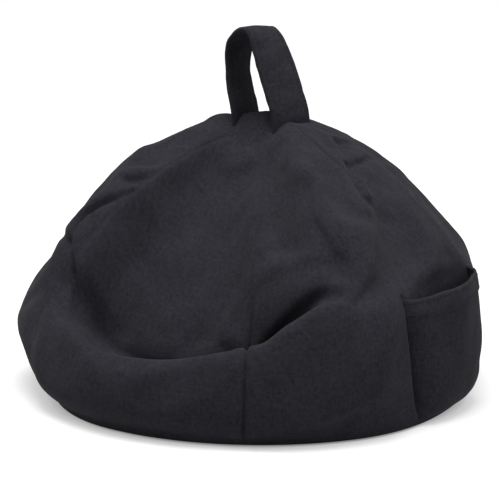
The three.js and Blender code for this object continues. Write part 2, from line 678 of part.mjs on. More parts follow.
function filling() {
  const inside = cushionAt(FABRIC + SEAM_GAP);
  const grow = 2 * (FABRIC + SEAM_GAP);
  const roof = TAPE_Z + TAPE_THICK + SEAM_GAP;
  const overZip = toManifold(leaningBlock(ZIP_LENGTH + 2 * CHANNEL_END + grow + CHANNEL_SLOPE,
    CHANNEL_WIDTH + grow + CHANNEL_SLOPE, roof, CHANNEL_SLOPE));
  const rested = inside.subtract(overZip);
  const wallInner = SEAM_GAP;
  const wallOuter = SEAM_GAP + BAFFLE_THICK;
  return {
    ledge: toGeometry(rested.intersect(ledgeRoom(0))),
    wall: toGeometry(rested.intersect(ledgeRoom(wallOuter).subtract(ledgeRoom(wallInner)))),
    main: toGeometry(rested.subtract(ledgeRoom(wallOuter + SEAM_GAP))),
  };
}

// Colours
const cloth = (tone) => new THREE.MeshStandardMaterial({ color: tone, roughness: 0.92, metalness: 0 });
const COVER = 0x2c2b2f;
const COVER_BACK = 0x2a292d;
const STRAP = 0x302f33;
const LINER = 0xd9d6cf;
const ZIP_TAPE = 0x1d1d1f;
const CHAIN = new THREE.MeshStandardMaterial({ color: 0x222224, roughness: 0.5, metalness: 0 });
const METAL = new THREE.MeshStandardMaterial({ color: 0x6c6d70, roughness: 0.4, metalness: 1 });

const stand = new THREE.Group();

function add(name, geometry, material) {
  const mesh = new THREE.Mesh(geometry, material);
  mesh.name = name;
  stand.add(mesh);
}

for (const [name, seams] of Object.entries(PANELS)) {
  add(name, coverPanel(seams), cloth(name.startsWith('back') ? COVER_BACK : COVER));
}
add('top_cap', topCap(), cloth(COVER));
add('base_front_half', baseHalf(-1), cloth(COVER_BACK));
add('base_back_half', baseHalf(1), cloth(COVER_BACK));
add('zip_tape_front', zipTape(-1), cloth(ZIP_TAPE));
add('zip_tape_back', zipTape(1), cloth(ZIP_TAPE));
add('zip_chain', zipChain(), CHAIN);
add('zip_slider', zipSlider(), METAL);
add('zip_top_stop', zipStop(1), METAL);
add('zip_bottom_stop', zipStop(-1), METAL);
add('side_pocket', pocketSheet(POCKET_FOOT, POCKET_MOUTH, 0, FABRIC, 9), cloth(COVER));
add('pocket_hem', pocketSheet(POCKET_MOUTH - HEM_HEIGHT, POCKET_MOUTH,
  FABRIC + SEAM_GAP, HEM_THICK, 2), cloth(COVER));
add('handle_loop', handleLoop(), cloth(STRAP));
add('handle_tab_left', handleTab(-1), cloth(STRAP));
add('handle_tab_right', handleTab(1), cloth(STRAP));
const beads = filling();
add('main_bead_bag', beads.main, cloth(LINER));
add('ledge_bead_bag', beads.ledge, cloth(LINER));
add('ledge_baffle', beads.wall, cloth(LINER));

export default stand;
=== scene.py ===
import bmesh
import bpy
import math
import numpy as np
from mathutils import Matrix, Vector


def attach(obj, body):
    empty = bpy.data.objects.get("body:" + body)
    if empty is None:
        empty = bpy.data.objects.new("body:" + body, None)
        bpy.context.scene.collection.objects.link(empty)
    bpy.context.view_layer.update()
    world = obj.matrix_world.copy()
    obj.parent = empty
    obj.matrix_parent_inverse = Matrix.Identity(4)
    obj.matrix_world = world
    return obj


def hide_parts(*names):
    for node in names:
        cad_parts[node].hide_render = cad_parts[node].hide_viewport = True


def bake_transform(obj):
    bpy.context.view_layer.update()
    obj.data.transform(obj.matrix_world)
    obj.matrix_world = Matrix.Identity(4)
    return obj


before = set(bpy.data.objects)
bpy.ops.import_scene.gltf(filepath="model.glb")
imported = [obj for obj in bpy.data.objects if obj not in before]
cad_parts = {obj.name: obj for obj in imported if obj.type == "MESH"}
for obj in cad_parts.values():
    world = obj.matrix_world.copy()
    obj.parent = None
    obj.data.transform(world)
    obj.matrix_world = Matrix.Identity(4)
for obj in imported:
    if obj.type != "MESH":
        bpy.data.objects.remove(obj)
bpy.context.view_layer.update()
scene = bpy.context.scene

# ---- sizes, in millimetres and degrees
MM = 0.001
FRONT_BASE_RADIUS, BASE_RADIUS, BASE_SEAM_HEIGHT = 151.0, 140.0, 1.6
# where the base's front radius starts to pass into the smaller one, and over how many degrees
RIGHT_BASE_EASE, LEFT_BASE_EASE = (60.0, 46.0), (5.0, 45.0)
CORNER_SEAM, RIGHT_CORNER_SEAM, SIDE_SEAM, BACK_SEAM = 34.0, 32.5, 78.0, 180.0
SEAMS = (-SIDE_SEAM, -CORNER_SEAM, RIGHT_CORNER_SEAM, SIDE_SEAM, BACK_SEAM)
# how far a panel puffs out, and the share of it that its seams pull back
PANEL_PUFF, SEAM_PULL, BACK_SEAM_PULL, BACK_PULL_FROM = 4.0, 0.15, 0.9, 130.0
SIDE_BELLY_HEIGHT = 40.0
LIP_RADIUS, LIP_CREST_RADIUS = 158.5, 148.0
CAP_RADIUS, CAP_SHIFT = 21.0, 8.0
CAP_FRONT_HEIGHT, CAP_BACK_HEIGHT, CAP_TOP = 163.0, 177.0, 183.0
# a profile has nine knots: where they lie on the dome, and on the slope over the crease
SPANS, DOME_TURNS = 8, (18, 26, 36, 49, 63, 78, 90)
SLOPE_CROWN, SLOPE_STEPS = 5.0, (0.12, 0.42, 0.68, 0.87, 1.0)
# flanks and back: radius, wall height, fullness
FLANK, LEFT_FLANK, BACK = (158.0, 52.0, 1.22), (160.0, 37.0, 1.22), (139.0, 72.0, 1.42)
RIGHT_FLANK_ANGLE, LEFT_FLANK_ANGLE, BACK_ANGLE = 63.0, 58.0, 88.0
# the ledge at some angles: belly height, lip height, crease radius, crease height,
# and how full the slope is there
RIGHT_LEDGE = {0.0: (24.0, 52.0, 114.0, 33.0, 0.0), 34.0: (24.0, 64.5, 118.0, 42.0, 0.12),
               43.0: (24.0, 82.0, 126.0, 60.0, 0.5), 51.0: (24.0, 91.0, 138.0, 87.0, 0.9)}
LEFT_LEDGE = {0.0: (24.0, 52.0, 114.0, 33.0, 0.0), 24.0: (22.0, 57.5, 118.0, 44.0, 0.15),
              33.0: (28.0, 63.0, 133.0, 71.0, 0.5), 45.0: (39.0, 69.0, 142.5, 83.0, 0.95)}
# a fuller shoulder on the left
SHOULDER_RISE, SHOULDER_ANGLE, SHOULDER_WIDTH = 4.8, -62.0, 32.0
# the roll is soft and round where it runs out into the right flank
SOFT_ROLL_ANGLE, SOFT_ROLL_WIDTH = 45.0, 9.0
SOFT_ROLL_ROW, SOFT_ROLL_ROWS, SOFT_ROLL_PASSES = 0.3, 0.07, 40
# main folds that run down the back from the cap: angle and depth
BACK_FOLDS = ((-160.0, 5.0), (-132.0, 5.5), (-103.0, 4.5), (105.0, 4.0), (143.0, 5.5), (167.0, 4.5))
BACK_FOLD_WIDTH = 9.0
POCKET_FROM, POCKET_TO = 74.5, 113.0
POCKET_START, POCKET_FOOT, POCKET_MOUTH_FRONT, POCKET_MOUTH = 1.2, 3.0, 85.0, 88.0
POCKET_LEAN, POCKET_LEAN_TOP = 6.0, 75.0   # its front edge leans back below that height
POCKET_DEPTH, POCKET_FLARE, POCKET_TUCK, POCKET_HEM = 11.0, 1.5, 46.0, 12.0
POCKET_STAND, HEM_STEP, MOUTH_BOW = 1.6, 1.1, 1.5
# the wall behind it is pressed in: depth, share of its width, then heights and how far each end eases
POCKET_DENT, DENT_SHARE, DENT_LOW, DENT_HIGH = 6.0, 0.46, (14.0, 18.0), (104.0, 20.0)
POCKET_THICK, BASE_THICK, SHEET_FLOOR = 1.5, 1.2, 0.1
ZIP_Y, ZIP_LENGTH, ZIP_END_ROOM = 22.0, 196.0, 5.0
SLIT_WIDTH, CHANNEL_HEIGHT, CHANNEL_WIDTH, CHANNEL_END = 9.4, 3.2, 32.0, 14.0
CHANNEL_SLOPE, SLOPE_IN_END, SLOPE_IN_SIDE = 7.0, 4.0, 2.0
BASE_RIM, BASE_SLACK = 8.0, 0.25
STRAP_WIDTH, STRAP_THICK, STRAP_SEWN = 32.0, 3.2, 14.0
STRAP_STITCH_FROM, BEND_START, BEND_END = 185.0, (0, 0.008, 0.184), (0, 0.008, 0.206)
CHAIN_MIDDLE, CHAIN_WIDTH, CHAIN_THICK = 3.85, 5.2, 1.9
TOOTH_PITCH, TOOTH_LENGTH, TOOTH_SHARE, STAGGER_SHARE = 0.8, 0.95, 0.58, 0.21
PULL_X = 77.5
STITCH_PITCH, STITCH_LENGTH, THREAD_THICK = 3.0, 2.5, 0.6
# how far the rows of stitches lie below the pocket's mouth, and outside the zip's slit
HEM_STITCHES, ZIP_STITCHES = (2.6, 10.4), (2.4, 6.0)


# ---- small maths
def ease(x):
    x = np.clip(x, 0.0, 1.0)
    return x * x * (3.0 - 2.0 * x)


def mix(a, b, s):
    return a + (b - a) * s


def hash_noise(x, y, seed):
    """Smooth noise from -1 to 1 on a unit lattice."""
    xi, yi = np.floor(x), np.floor(y)
    xf, yf = ease(x - xi), ease(y - yi)

    def corner(i, j):
        v = np.sin(i * 127.1 + j * 311.7 + seed * 74.7) * 43758.5453
        return 2.0 * (v - np.floor(v)) - 1.0

    low = mix(corner(xi, yi), corner(xi + 1, yi), xf)
    high = mix(corner(xi, yi + 1), corner(xi + 1, yi + 1), xf)
    return mix(low, high, yf)


def smooth_line(points, count):
    """Catmull-Rom curve through points of any dimension."""
    p = np.asarray(points, float)
    p = np.vstack([2 * p[0] - p[1], p, 2 * p[-1] - p[-2]])
    s = np.linspace(0, len(p) - 3, count)
    i = np.minimum(s.astype(int), len(p) - 4)
    w = (s - i)[:, None]
    a, b, c, d = p[i], p[i + 1], p[i + 2], p[i + 3]
    return 0.5 * (2 * b + (c - a) * w + (2 * a - 5 * b + 4 * c - d) * w ** 2
                  + (3 * b - a - 3 * c + d) * w ** 3)


def unit(vectors):
    return vectors / np.maximum(np.linalg.norm(vectors, axis=-1, keepdims=True), 1e-9)


def turn_from(angle, middle):
    """How far an angle is turned from another, between -180 and 180."""
    return (angle - middle + 180.0) % 360.0 - 180.0


def run_along(points, axis):
    """Length from the first point on, along an axis of a grid of points."""
    step = np.linalg.norm(np.diff(points, axis=axis), axis=-1)
    return np.cumsum(np.pad(step, [(int(k == axis), 0) for k in range(step.ndim)]), axis)


# ---- the cushion's surface
def cap_rim(angle):
    return mix(CAP_FRONT_HEIGHT, CAP_BACK_HEIGHT, ease(np.abs(angle) / BACK_ANGLE))


def base_radius(angle):
    right = ease((angle - RIGHT_BASE_EASE[0]) / RIGHT_BASE_EASE[1])
    left = ease((-angle - LEFT_BASE_EASE[0]) / LEFT_BASE_EASE[1])
    return mix(FRONT_BASE_RADIUS, BASE_RADIUS, np.where(angle > 0, right, left))


def dome_profile(sizes, rim):
    radius, wall, fullness = sizes
    points = [(BASE_RADIUS, BASE_SEAM_HEIGHT), (radius, SIDE_BELLY_HEIGHT)]
    for turn in DOME_TURNS:
        t = math.radians(turn)
        points.append((CAP_RADIUS + (radius - CAP_RADIUS) * abs(math.cos(t)) ** fullness,
                       wall + (rim - wall) * math.sin(t) ** fullness))
    return np.array(points)


def ledge_profile(belly, lip_height, crease, crease_height, full, flank, rim):
    points = [(BASE_RADIUS, BASE_SEAM_HEIGHT), (LIP_RADIUS, belly), (LIP_CREST_RADIUS, lip_height),
              (crease, crease_height)]
    dome = dome_profile(flank, rim)
    for k, along in enumerate(SLOPE_STEPS):
        swell = SLOPE_CROWN * math.sin(math.pi * along)
        slope = np.array((mix(crease, CAP_RADIUS, along) + swell,
                          mix(crease_height, rim, along) + 0.7 * swell))
        points.append(tuple(mix(slope, dome[4 + k], full)))
    return np.array(points)


def stations(ledge, flank, flank_angle):
    line = [(a, ledge_profile(*sizes, flank, cap_rim(a))) for a, sizes in ledge.items()]
    line.append((flank_angle, dome_profile(flank, cap_rim(flank_angle))))
    line.append((BACK_ANGLE, dome_profile(BACK, cap_rim(BACK_ANGLE))))
    return line


RIGHT = stations(RIGHT_LEDGE, FLANK, RIGHT_FLANK_ANGLE)
LEFT = stations(LEFT_LEDGE, LEFT_FLANK, LEFT_FLANK_ANGLE)
# how much of each of these the nine knots of a profile take
PUFF_SHARE = np.array([0, 1, 1, 0.2, 0.5, 1, 1, 0.6, 0])
FOLD_SHARE = np.array([0, 0.15, 0.3, 0.55, 0.85, 1, 1, 0.6, 0])
SHOULDER_SHARE = np.array([0, 0, 0, 0, 0, 0.5, 1, 1, 0])


def puff_at(angle):
    side = abs(angle)
    low, high = -CORNER_SEAM, CORNER_SEAM
    if side > CORNER_SEAM:
        low, high = CORNER_SEAM, SIDE_SEAM
    if side > SIDE_SEAM:
        low, high = SIDE_SEAM, BACK_SEAM
    across = 2.0 * (side - low) / (high - low) - 1.0
    pull = BACK_SEAM_PULL if side > BACK_PULL_FROM else SEAM_PULL
    return 1.0 - pull * across ** 4


def rise(line, k):
    """Slope of the knots at a station, level where they turn."""
    if k == 0 or k == len(line) - 1:
        return np.zeros_like(line[k][1])
    before = (line[k][1] - line[k - 1][1]) / (line[k][0] - line[k - 1][0])
    after = (line[k + 1][1] - line[k][1]) / (line[k + 1][0] - line[k][0])
    same = before * after > 0
    return np.where(same, 2 * before * after / np.where(same, before + after, 1.0), 0.0)


def profile_knots(angle):
    """Radius and height of the nine knots of the cover's profile at an angle."""
    side = min(abs(angle), BACK_ANGLE)
    line = LEFT if angle < 0 else RIGHT
    k = 1
    while k < len(line) - 1 and side > line[k][0]:
        k += 1
    (a0, low), (a1, high) = line[k - 1], line[k]
    t = (side - a0) / (a1 - a0)
    knots = mix(low, high, t * t * (3 - 2 * t))
    knots = knots + (a1 - a0) * t * (1 - t) * ((1 - t) * rise(line, k - 1) - t * rise(line, k))
    knots[:, 0] += PANEL_PUFF * puff_at(angle) * PUFF_SHARE
    for middle, depth in BACK_FOLDS:
        fold = math.exp(-(turn_from(angle, middle) / BACK_FOLD_WIDTH) ** 2)
        knots[:, 0] -= depth * fold * FOLD_SHARE
    shoulder = SHOULDER_RISE * math.exp(-((angle - SHOULDER_ANGLE) / SHOULDER_WIDTH) ** 2)
    knots += np.outer(shoulder * SHOULDER_SHARE, (1.0, 0.7))
    knots[0] = base_radius(angle), BASE_SEAM_HEIGHT
    knots[-1] = CAP_RADIUS, cap_rim(angle)
    return knots


def cover_surface(angles, rows):
    """Points [angle, row, xyz] of the cover; row runs from 0 at the base seam to 1 at the cap."""
    q = np.array([profile_knots(a) for a in angles])
    full = np.concatenate([2 * q[:, :1] - q[:, 1:2], q, 2 * q[:, -1:] - q[:, -2:-1]], 1)
    step = np.maximum(np.sum(np.diff(full, axis=1) ** 2, -1) ** 0.25, 1e-4)[..., None]
    p0, p1, p2, p3 = full[:, :-3], full[:, 1:-2], full[:, 2:-1], full[:, 3:]
    d0, d1, d2 = step[:, :-2], step[:, 1:-1], step[:, 2:]
    t1 = ((p1 - p0) / d0 - (p2 - p0) / (d0 + d1) + (p2 - p1) / d1) * d1
    t2 = ((p2 - p1) / d1 - (p3 - p1) / (d1 + d2) + (p3 - p2) / d2) * d1
    c2, c3 = -3 * p1 + 3 * p2 - 2 * t1 - t2, 2 * p1 - 2 * p2 + t1 + t2
    s = np.asarray(rows) * SPANS
    i = np.minimum(s.astype(int), SPANS - 1)
    w = (s - i)[None, :, None]
    c = p1[:, i] + t1[:, i] * w + c2[:, i] * w ** 2 + c3[:, i] * w ** 3
    return on_circle(angles, c[..., 0] - pocket_dent(angles[:, None], c[..., 1]), c[..., 1])


def pocket_dent(angle, height):
    """How far the wall is pressed in behind the pocket."""
    reach = DENT_SHARE * (POCKET_TO - POCKET_FROM)
    across = np.clip(np.abs((angle - (POCKET_FROM + POCKET_TO) / 2) / reach), 0, 1)
    low = ease((height - DENT_LOW[0]) / DENT_LOW[1])
    high = ease((DENT_HIGH[0] - height) / DENT_HIGH[1])
    return POCKET_DENT * (1 - across ** 2) ** 2 * low * high


def on_circle(angles, radius, height):
    turn = np.radians(angles)[:, None]
    shift = CAP_SHIFT * np.clip(height / CAP_BACK_HEIGHT, 0, 1)
    return np.stack([radius * np.sin(turn), shift - radius * np.cos(turn), height], -1)


def grid_normals(grid):
    around = np.roll(grid, -1, 0) - np.roll(grid, 1, 0)
    upward = np.gradient(grid, axis=1)
    return unit(np.cross(around, upward))


def even_rows(count):
    """Rows that lie about evenly along the profiles."""
    fine = np.linspace(0, 1, 801)
    some = cover_surface(np.linspace(-175, 175, 36), fine)
    run = np.linalg.norm(np.diff(some, axis=1), axis=-1).mean(0)
    run = np.concatenate([[0], np.cumsum(run)])
    return np.interp(np.linspace(0, run[-1], count), run, fine)


# a line of puckers beside the side seam, which a fold and a crease follow
PUCKERS = [(105, .815), (88, .727), (78.5, .667), (78, .62), (83, .585)]
# Folds: points (angle, row), depth, half width, height of the roll above, spread of that roll
FOLDS = [
    # the bottom of the groove that a device stands in
    ([(-29, .38), (-20, .376), (-10, .375), (2, .375), (14, .377), (26, .38), (34, .385)],
     1.6, 5.0, 0.0, 9.0),
    ([(27, .385), (36, .405), (43, .405), (50, .392), (57, .37)], 5.0, 5.5, 2.0, 10.0),
    # left flank: the crease beside the slope, a curved fold over it, a pleat and a dimple on the roll
    ([(-25, .32), (-30, .35), (-33, .415), (-36, .46), (-39, .488), (-44, .485), (-52, .47)],
     3.2, 3.4, 1.4, 8.0),
    ([(-38, .495), (-40, .525), (-41, .555), (-39, .60), (-36, .645)], 2.8, 2.8, 1.4, 7.0),
    ([(-44, .675), (-40, .68), (-37, .695), (-35, .72), (-36, .745)], 2.2, 4.5, 1.2, 9.0),
    ([(-52, .185), (-44, .22), (-38, .295)], 1.8, 6.0, 0.8, 11.0),
    # right flank: soft wrinkles over the groove, and a ridge with puckers beside it at the side seam
    ([(35, .575), (44, .52), (52, .49), (60, .50)], 1.4, 7.0, 0.8, 13.0),
    ([(34, .63), (40, .61), (45, .58), (52, .555)], 0.8, 6.5, 0.4, 12.0),
    ([(99, .83), (82, .745), (72, .675), (72, .61), (78, .58)], -1.8, 3.8, 0.0, 8.0),
    (PUCKERS, 2.8, 4.2, 0.6, 8.0),
    ([(97, .80), (105, .79), (114, .775), (125, .745)], 1.6, 3.2, 1.0, 7.0),
    ([(82, .727), (94, .715), (104, .708), (117, .70)], 2.0, 2.8, 1.2, 7.0),
    # slope: slack cloth over the groove
    ([(-18, .53), (-2, .515), (14, .52)], 1.2, 9.0, 0.6, 14.0),
    ([(29, .43), (23, .47), (16, .53)], 1.4, 6.0, 1.0, 10.0),
    # back: slack near the base
    ([(-104, .20), (-118, .26), (-134, .25)], 2.0, 8.0, 1.0, 13.0),
    ([(132, .20), (148, .27), (166, .24)], 2.0, 8.0, 1.0, 13.0),
    ([(-150, .12), (-160, .17), (-172, .16)], 1.6, 7.0, 0.8, 12.0),
]


def drawn_at(angle, row):
    return cover_surface(np.array([angle]), [row])[0, 0]


# Sharp creases, pressed in after the cloth pass: the same values as for the folds
CREASES = [
    ([(-27, .325), (-30, .35), (-33, .415), (-36, .46), (-39, .488), (-43, .486)], 1.7, 2.4, 0.5, 5.0),
    ([(-38, .49), (-40, .525), (-41, .555), (-39, .60), (-36, .645), (-33, .69)], 1.8, 2.2, 0.6, 5.0),
    ([(-43, .675), (-39, .682), (-36, .70), (-35, .725)], 1.2, 2.6, 0.5, 5.0),
    ([(34, .43), (40, .43), (46, .42), (52, .395)], 1.5, 3.0, 0.6, 6.0),
    (PUCKERS, 1.1, 3.6, 0.4, 6.0),
    ([(97, .80), (105, .79), (114, .775)], 0.7, 2.6, 0.4, 5.0),
    ([(82, .727), (94, .715), (106, .706)], 1.3, 2.2, 0.6, 5.0),
    # along the seam that the pocket's front edge is sewn into
    ([(80.2, .0), (78.5, .06), (77.1, .11), (75.6, .175), (74.5, .23), (73.9, .272)],
     4.0, 1.7, 0.0, 5.0),
]


def fold_shift(grid, folds, place=drawn_at):
    """How far each point of a cover grid moves along its normal for the folds."""
    shift = np.zeros(grid.shape[:2])
    flat = grid.reshape(-1, 3)
    for line, depth, half, roll, spread in folds:
        path = smooth_line(line, 60)
        spots = np.array([place(a, r) for a, r in path])
        best = np.full(len(flat), 1e9)
        along = np.zeros(len(flat))
        above = np.zeros(len(flat))
        for k, spot in enumerate(spots):
            gap = flat - spot
            d = np.einsum("ij,ij->i", gap, gap)
            near = d < best
            best[near] = d[near]
            along[near] = k / (len(spots) - 1)
            above[near] = gap[near, 2]
        d = np.sqrt(best)
        taper = np.sin(math.pi * np.clip(along, 0.0, 1.0)) ** 0.45
        side = ease(above / 8.0 + 0.5)
        move = -depth * np.exp(-(d / half) ** 2)
        move += roll * side * np.exp(-((d - 1.6 * half) / spread) ** 2)
        shift += (move * taper).reshape(shift.shape)
    return shift


def shaped(angles, rows):
    """The cover's surface with its folds."""
    grid = cover_surface(angles, rows)
    return grid + grid_normals(grid) * fold_shift(grid, FOLDS)[..., None]


# ---- mesh making
def add_object(name, data):
    obj = bpy.data.objects.new(name, data)
    scene.collection.objects.link(obj)
    return obj


def make_object(name, verts, faces, uv=None):
    """A smooth mesh with the weave's map, from sizes in millimetres."""
    mesh = bpy.data.meshes.new(name)
    mesh.from_pydata((np.asarray(verts, float) * MM).tolist(), [], faces)
    if uv is not None:
        layer = mesh.uv_layers.new(name="cloth")
        layer.data.foreach_set("uv", (np.asarray(uv, float) * MM).ravel())
    mesh.polygons.foreach_set("use_smooth", [True] * len(mesh.polygons))
    mesh.update()
    return add_object(name, mesh)


def cubic_weights(at, count, wrap):
    """Matrix that resamples count values at fractional places by Catmull-Rom."""
    i = np.floor(at).astype(int)
    w = at - i
    parts = [0.5 * (-w + 2 * w ** 2 - w ** 3), 0.5 * (2 - 5 * w ** 2 + 3 * w ** 3),
             0.5 * (w + 4 * w ** 2 - 3 * w ** 3), 0.5 * (-w ** 2 + w ** 3)]
    m = np.zeros((len(at), count))
    for k, part in enumerate(parts):
        j = i + k - 1
        j = j % count if wrap else np.clip(j, 0, count - 1)
        np.add.at(m, (np.arange(len(at)), j), part)
    return m


# ---- cloth pass on a coarse cover
COARSE_STEP = 1.875
COARSE_ANGLES = np.arange(-180.0, 180.0, COARSE_STEP)
COARSE_ROWS = even_rows(70)
CLOTH = {"quality": 6, "mass": 0.25, "air_damping": 2.0, "tension_stiffness": 25.0,
         "compression_stiffness": 25.0, "shear_stiffness": 8.0, "bending_stiffness": 6.0,
         "use_pressure": True, "uniform_pressure_force": 3.0, "vertex_group_mass": "pins",
         "pin_stiffness": 1.0, "shrink_min": -0.022, "shrink_max": 0.035, "vertex_group_shrink": "gathers"}
CLOTH_GRAVITY, CLOTH_FRAMES, MOVE_LIMIT = 0.25, 22, 4.0


def seam_distance(angles, radius):
    gap = np.min([np.abs(turn_from(angles[:, None], s)) for s in SEAMS], 0)
    return np.radians(gap) * radius


def cloth_moves():
    """How a cloth simulation, gathered at its seams and blown up, moves the coarse cover."""
    start = shaped(COARSE_ANGLES, COARSE_ROWS)
    n, m = start.shape[:2]
    index = np.arange(n * m).reshape(n, m)
    right = np.roll(index, -1, 0)
    faces = np.stack([index[:, :-1], right[:, :-1], right[:, 1:], index[:, 1:]], -1).reshape(-1, 4)
    obj = make_object("cloth_pass", start.reshape(-1, 3), faces.tolist())
    radius = np.hypot(start[..., 0], start[..., 1])
    seam = np.exp(-(seam_distance(COARSE_ANGLES, radius) / 7.0) ** 2)
    pin = np.zeros((n, m))
    pin[:, :2] = 1.0
    pin[:, -3:] = 1.0
    pin = np.maximum(pin, 0.8 * np.clip(-fold_shift(start, FOLDS) / 4.0, 0, 1))
    for middle, _ in BACK_FOLDS:
        near = 0.7 * np.exp(-(turn_from(COARSE_ANGLES, middle) / 5.0) ** 2)
        pin = np.maximum(pin, near[:, None] * ease((COARSE_ROWS - 0.3) / 0.2))
    gathers = obj.vertex_groups.new(name="gathers")
    pins = obj.vertex_groups.new(name="pins")
    for k, (a, b) in enumerate(zip(seam.ravel(), pin.ravel())):
        gathers.add([k], float(a), "REPLACE")
        if b > 0.01:
            pins.add([k], float(b), "REPLACE")
    cloth = obj.modifiers.new("cloth", "CLOTH")
    for key, value in CLOTH.items():
        setattr(cloth.settings, key, value)
    cloth.settings.effector_weights.gravity = CLOTH_GRAVITY
    cloth.collision_settings.use_collision = False
    cloth.point_cache.frame_start, cloth.point_cache.frame_end = 1, CLOTH_FRAMES + 2
    for f in range(1, CLOTH_FRAMES + 1):
        scene.frame_set(f)
    done = obj.evaluated_get(bpy.context.evaluated_depsgraph_get()).to_mesh()
    end = np.zeros(n * m * 3)
    done.vertices.foreach_get("co", end)
    moves = end.reshape(n, m, 3) / MM - start
    mesh = obj.data
    bpy.data.objects.remove(obj)
    bpy.data.meshes.remove(mesh)
    scene.frame_set(1)
    # the broad form stays as it was drawn; only the folds of the cloth are kept
    broad = moves
    for _ in range(3):
        broad = np.mean([np.roll(broad, j, 0) for j in range(-5, 6)], 0)
        wide = np.pad(broad, ((0, 0), (4, 4), (0, 0)), mode="edge")
        broad = np.mean([wide[:, j:j + m] for j in range(9)], 0)
    moves = moves - broad
    for _ in range(2):
        moves = (np.roll(moves, 1, 0) + 2 * moves + np.roll(moves, -1, 0)) / 4
        wide = np.pad(moves, ((0, 0), (1, 1), (0, 0)), mode="edge")
        moves = (wide[:, :-2] + 2 * moves + wide[:, 2:]) / 4
    length = np.linalg.norm(moves, axis=-1, keepdims=True)
    moves *= MOVE_LIMIT * np.tanh(length / MOVE_LIMIT) / np.maximum(length, 1e-6)
    # the belly is drawn tight by the filling, and the base seam stays where it is sewn
    tight = ease(COARSE_ROWS / 0.08) * mix(0.4, 1.0, ease((COARSE_ROWS - 0.22) / 0.14))
    return moves * tight[None, :, None]


# ---- the fine cover
FINE_STEP, FINE_ROWS, POCKET_EDGE, MEAN_RADIUS = 0.8, 180, (72.4, 81.0), 146.0


def fine_angles():
    """Columns of the fine cover, closer together at the seams and at the pocket's front edge."""
    angles = [*np.arange(-180.0, 180.0, FINE_STEP), *np.arange(*POCKET_EDGE, FINE_STEP)]
    for s in SEAMS:
        for d in (-1.4, -0.7, -0.35, 0.0, 0.35, 0.7, 1.4):
            a = turn_from(s + d, 0.0)
            if min(abs(a - b) for b in angles) > 0.12:
                angles.append(a)
    return np.array(sorted(angles))


ANGLES = fine_angles()
ROWS = even_rows(FINE_ROWS)
moves = cloth_moves()
around = cubic_weights((ANGLES + 180.0) / COARSE_STEP, len(COARSE_ANGLES), True)
upward = cubic_weights(np.interp(ROWS, COARSE_ROWS, np.arange(len(COARSE_ROWS))),
                       len(COARSE_ROWS), False)
GRID = shaped(ANGLES, ROWS) + np.einsum("ai,ijk,bj->abk", around, moves, upward)
soft = np.outer(np.exp(-((ANGLES - SOFT_ROLL_ANGLE) / SOFT_ROLL_WIDTH) ** 4),
                np.exp(-((ROWS - SOFT_ROLL_ROW) / SOFT_ROLL_ROWS) ** 4))
for _ in range(SOFT_ROLL_PASSES):
    GRID[:, 1:-1] += 0.25 * soft[:, 1:-1, None] * (GRID[:, 2:] - 2 * GRID[:, 1:-1] + GRID[:, :-2])
radius = np.hypot(GRID[..., 0], GRID[..., 1] - CAP_SHIFT * 0.5)
d_seam = seam_distance(ANGLES, radius)
run = run_along(GRID, 1)
signed = np.radians(ANGLES)[:, None] * MEAN_RADIUS
pucker = hash_noise(run / 13.0, np.sign(signed) * 3.0 + signed / 60.0, 3.0)
# how deep each seam is drawn in, row by row
strength = {-SIDE_SEAM: 0.6 + 0 * ROWS, -CORNER_SEAM: 0.3 * ease((ROWS - 0.3) / 0.15),
            RIGHT_CORNER_SEAM: mix(1.6, 0.3, ease((ROWS - 0.5) / 0.1)),
            SIDE_SEAM: 0.05 + 0.35 * ease((ROWS - 0.6) / 0.1), BACK_SEAM: 1.0 + 0 * ROWS}
nearest = np.array(SEAMS)[np.argmin([np.abs(turn_from(ANGLES, s)) for s in SEAMS], 0)]
strength = np.array([strength[s] for s in nearest])
# grooves and the rolls beside them, puckers next to the seams, then broad and fine slack
detail = strength * (-1.5 * np.exp(-(d_seam / 1.2) ** 2) + 0.6 * np.exp(-((d_seam - 5.0) / 4.0) ** 2))
detail += 0.7 * pucker * np.exp(-(d_seam / 11.0) ** 2) * (1 - np.exp(-(d_seam / 2.5) ** 2))
detail += 0.45 * hash_noise(signed / 34.0, run / 41.0, 8.0) + 0.2 * hash_noise(signed / 13.0, run / 16.0, 5.0)


def made_at(angle, row):
    """A point of the made cover, between its columns and rows."""
    k = min(max(np.searchsorted(ANGLES, angle) - 1, 0), len(ANGLES) - 2)
    r = min(max(np.searchsorted(ROWS, row) - 1, 0), len(ROWS) - 2)
    s = (angle - ANGLES[k]) / (ANGLES[k + 1] - ANGLES[k])
    w = (row - ROWS[r]) / (ROWS[r + 1] - ROWS[r])
    return mix(mix(GRID[k, r], GRID[k + 1, r], s), mix(GRID[k, r + 1], GRID[k + 1, r + 1], s), w)


edge = ease(run / 14.0) * ease((run[:, -1:] - run) / 10.0)
detail += fold_shift(GRID, CREASES, made_at)
GRID = GRID + grid_normals(GRID) * (detail * edge)[..., None]


def wall_at(angle, height):
    """Where the made cover lies at an angle and a height, on its upright wall."""
    k = np.searchsorted(ANGLES, angle) - 1
    s = (angle - ANGLES[k]) / (ANGLES[k + 1] - ANGLES[k])
    line = mix(GRID[k], GRID[k + 1], s)[: int(0.6 * len(ROWS))]
    first = max(int(np.argmax(line[:, 2] >= height)), 1)
    a, b = line[first - 1], line[first]
    return mix(a, b, np.clip((height - a[2]) / max(b[2] - a[2], 1e-6), 0, 1))


def panel_middle(angle):
    """The angle that the weave of a panel is straight at."""
    if -CORNER_SEAM < angle < RIGHT_CORNER_SEAM:
        return 0.0
    if abs(angle) < SIDE_SEAM:
        return math.copysign((CORNER_SEAM + SIDE_SEAM) / 2, angle)
    return math.copysign((SIDE_SEAM + BACK_SEAM) / 2, angle)


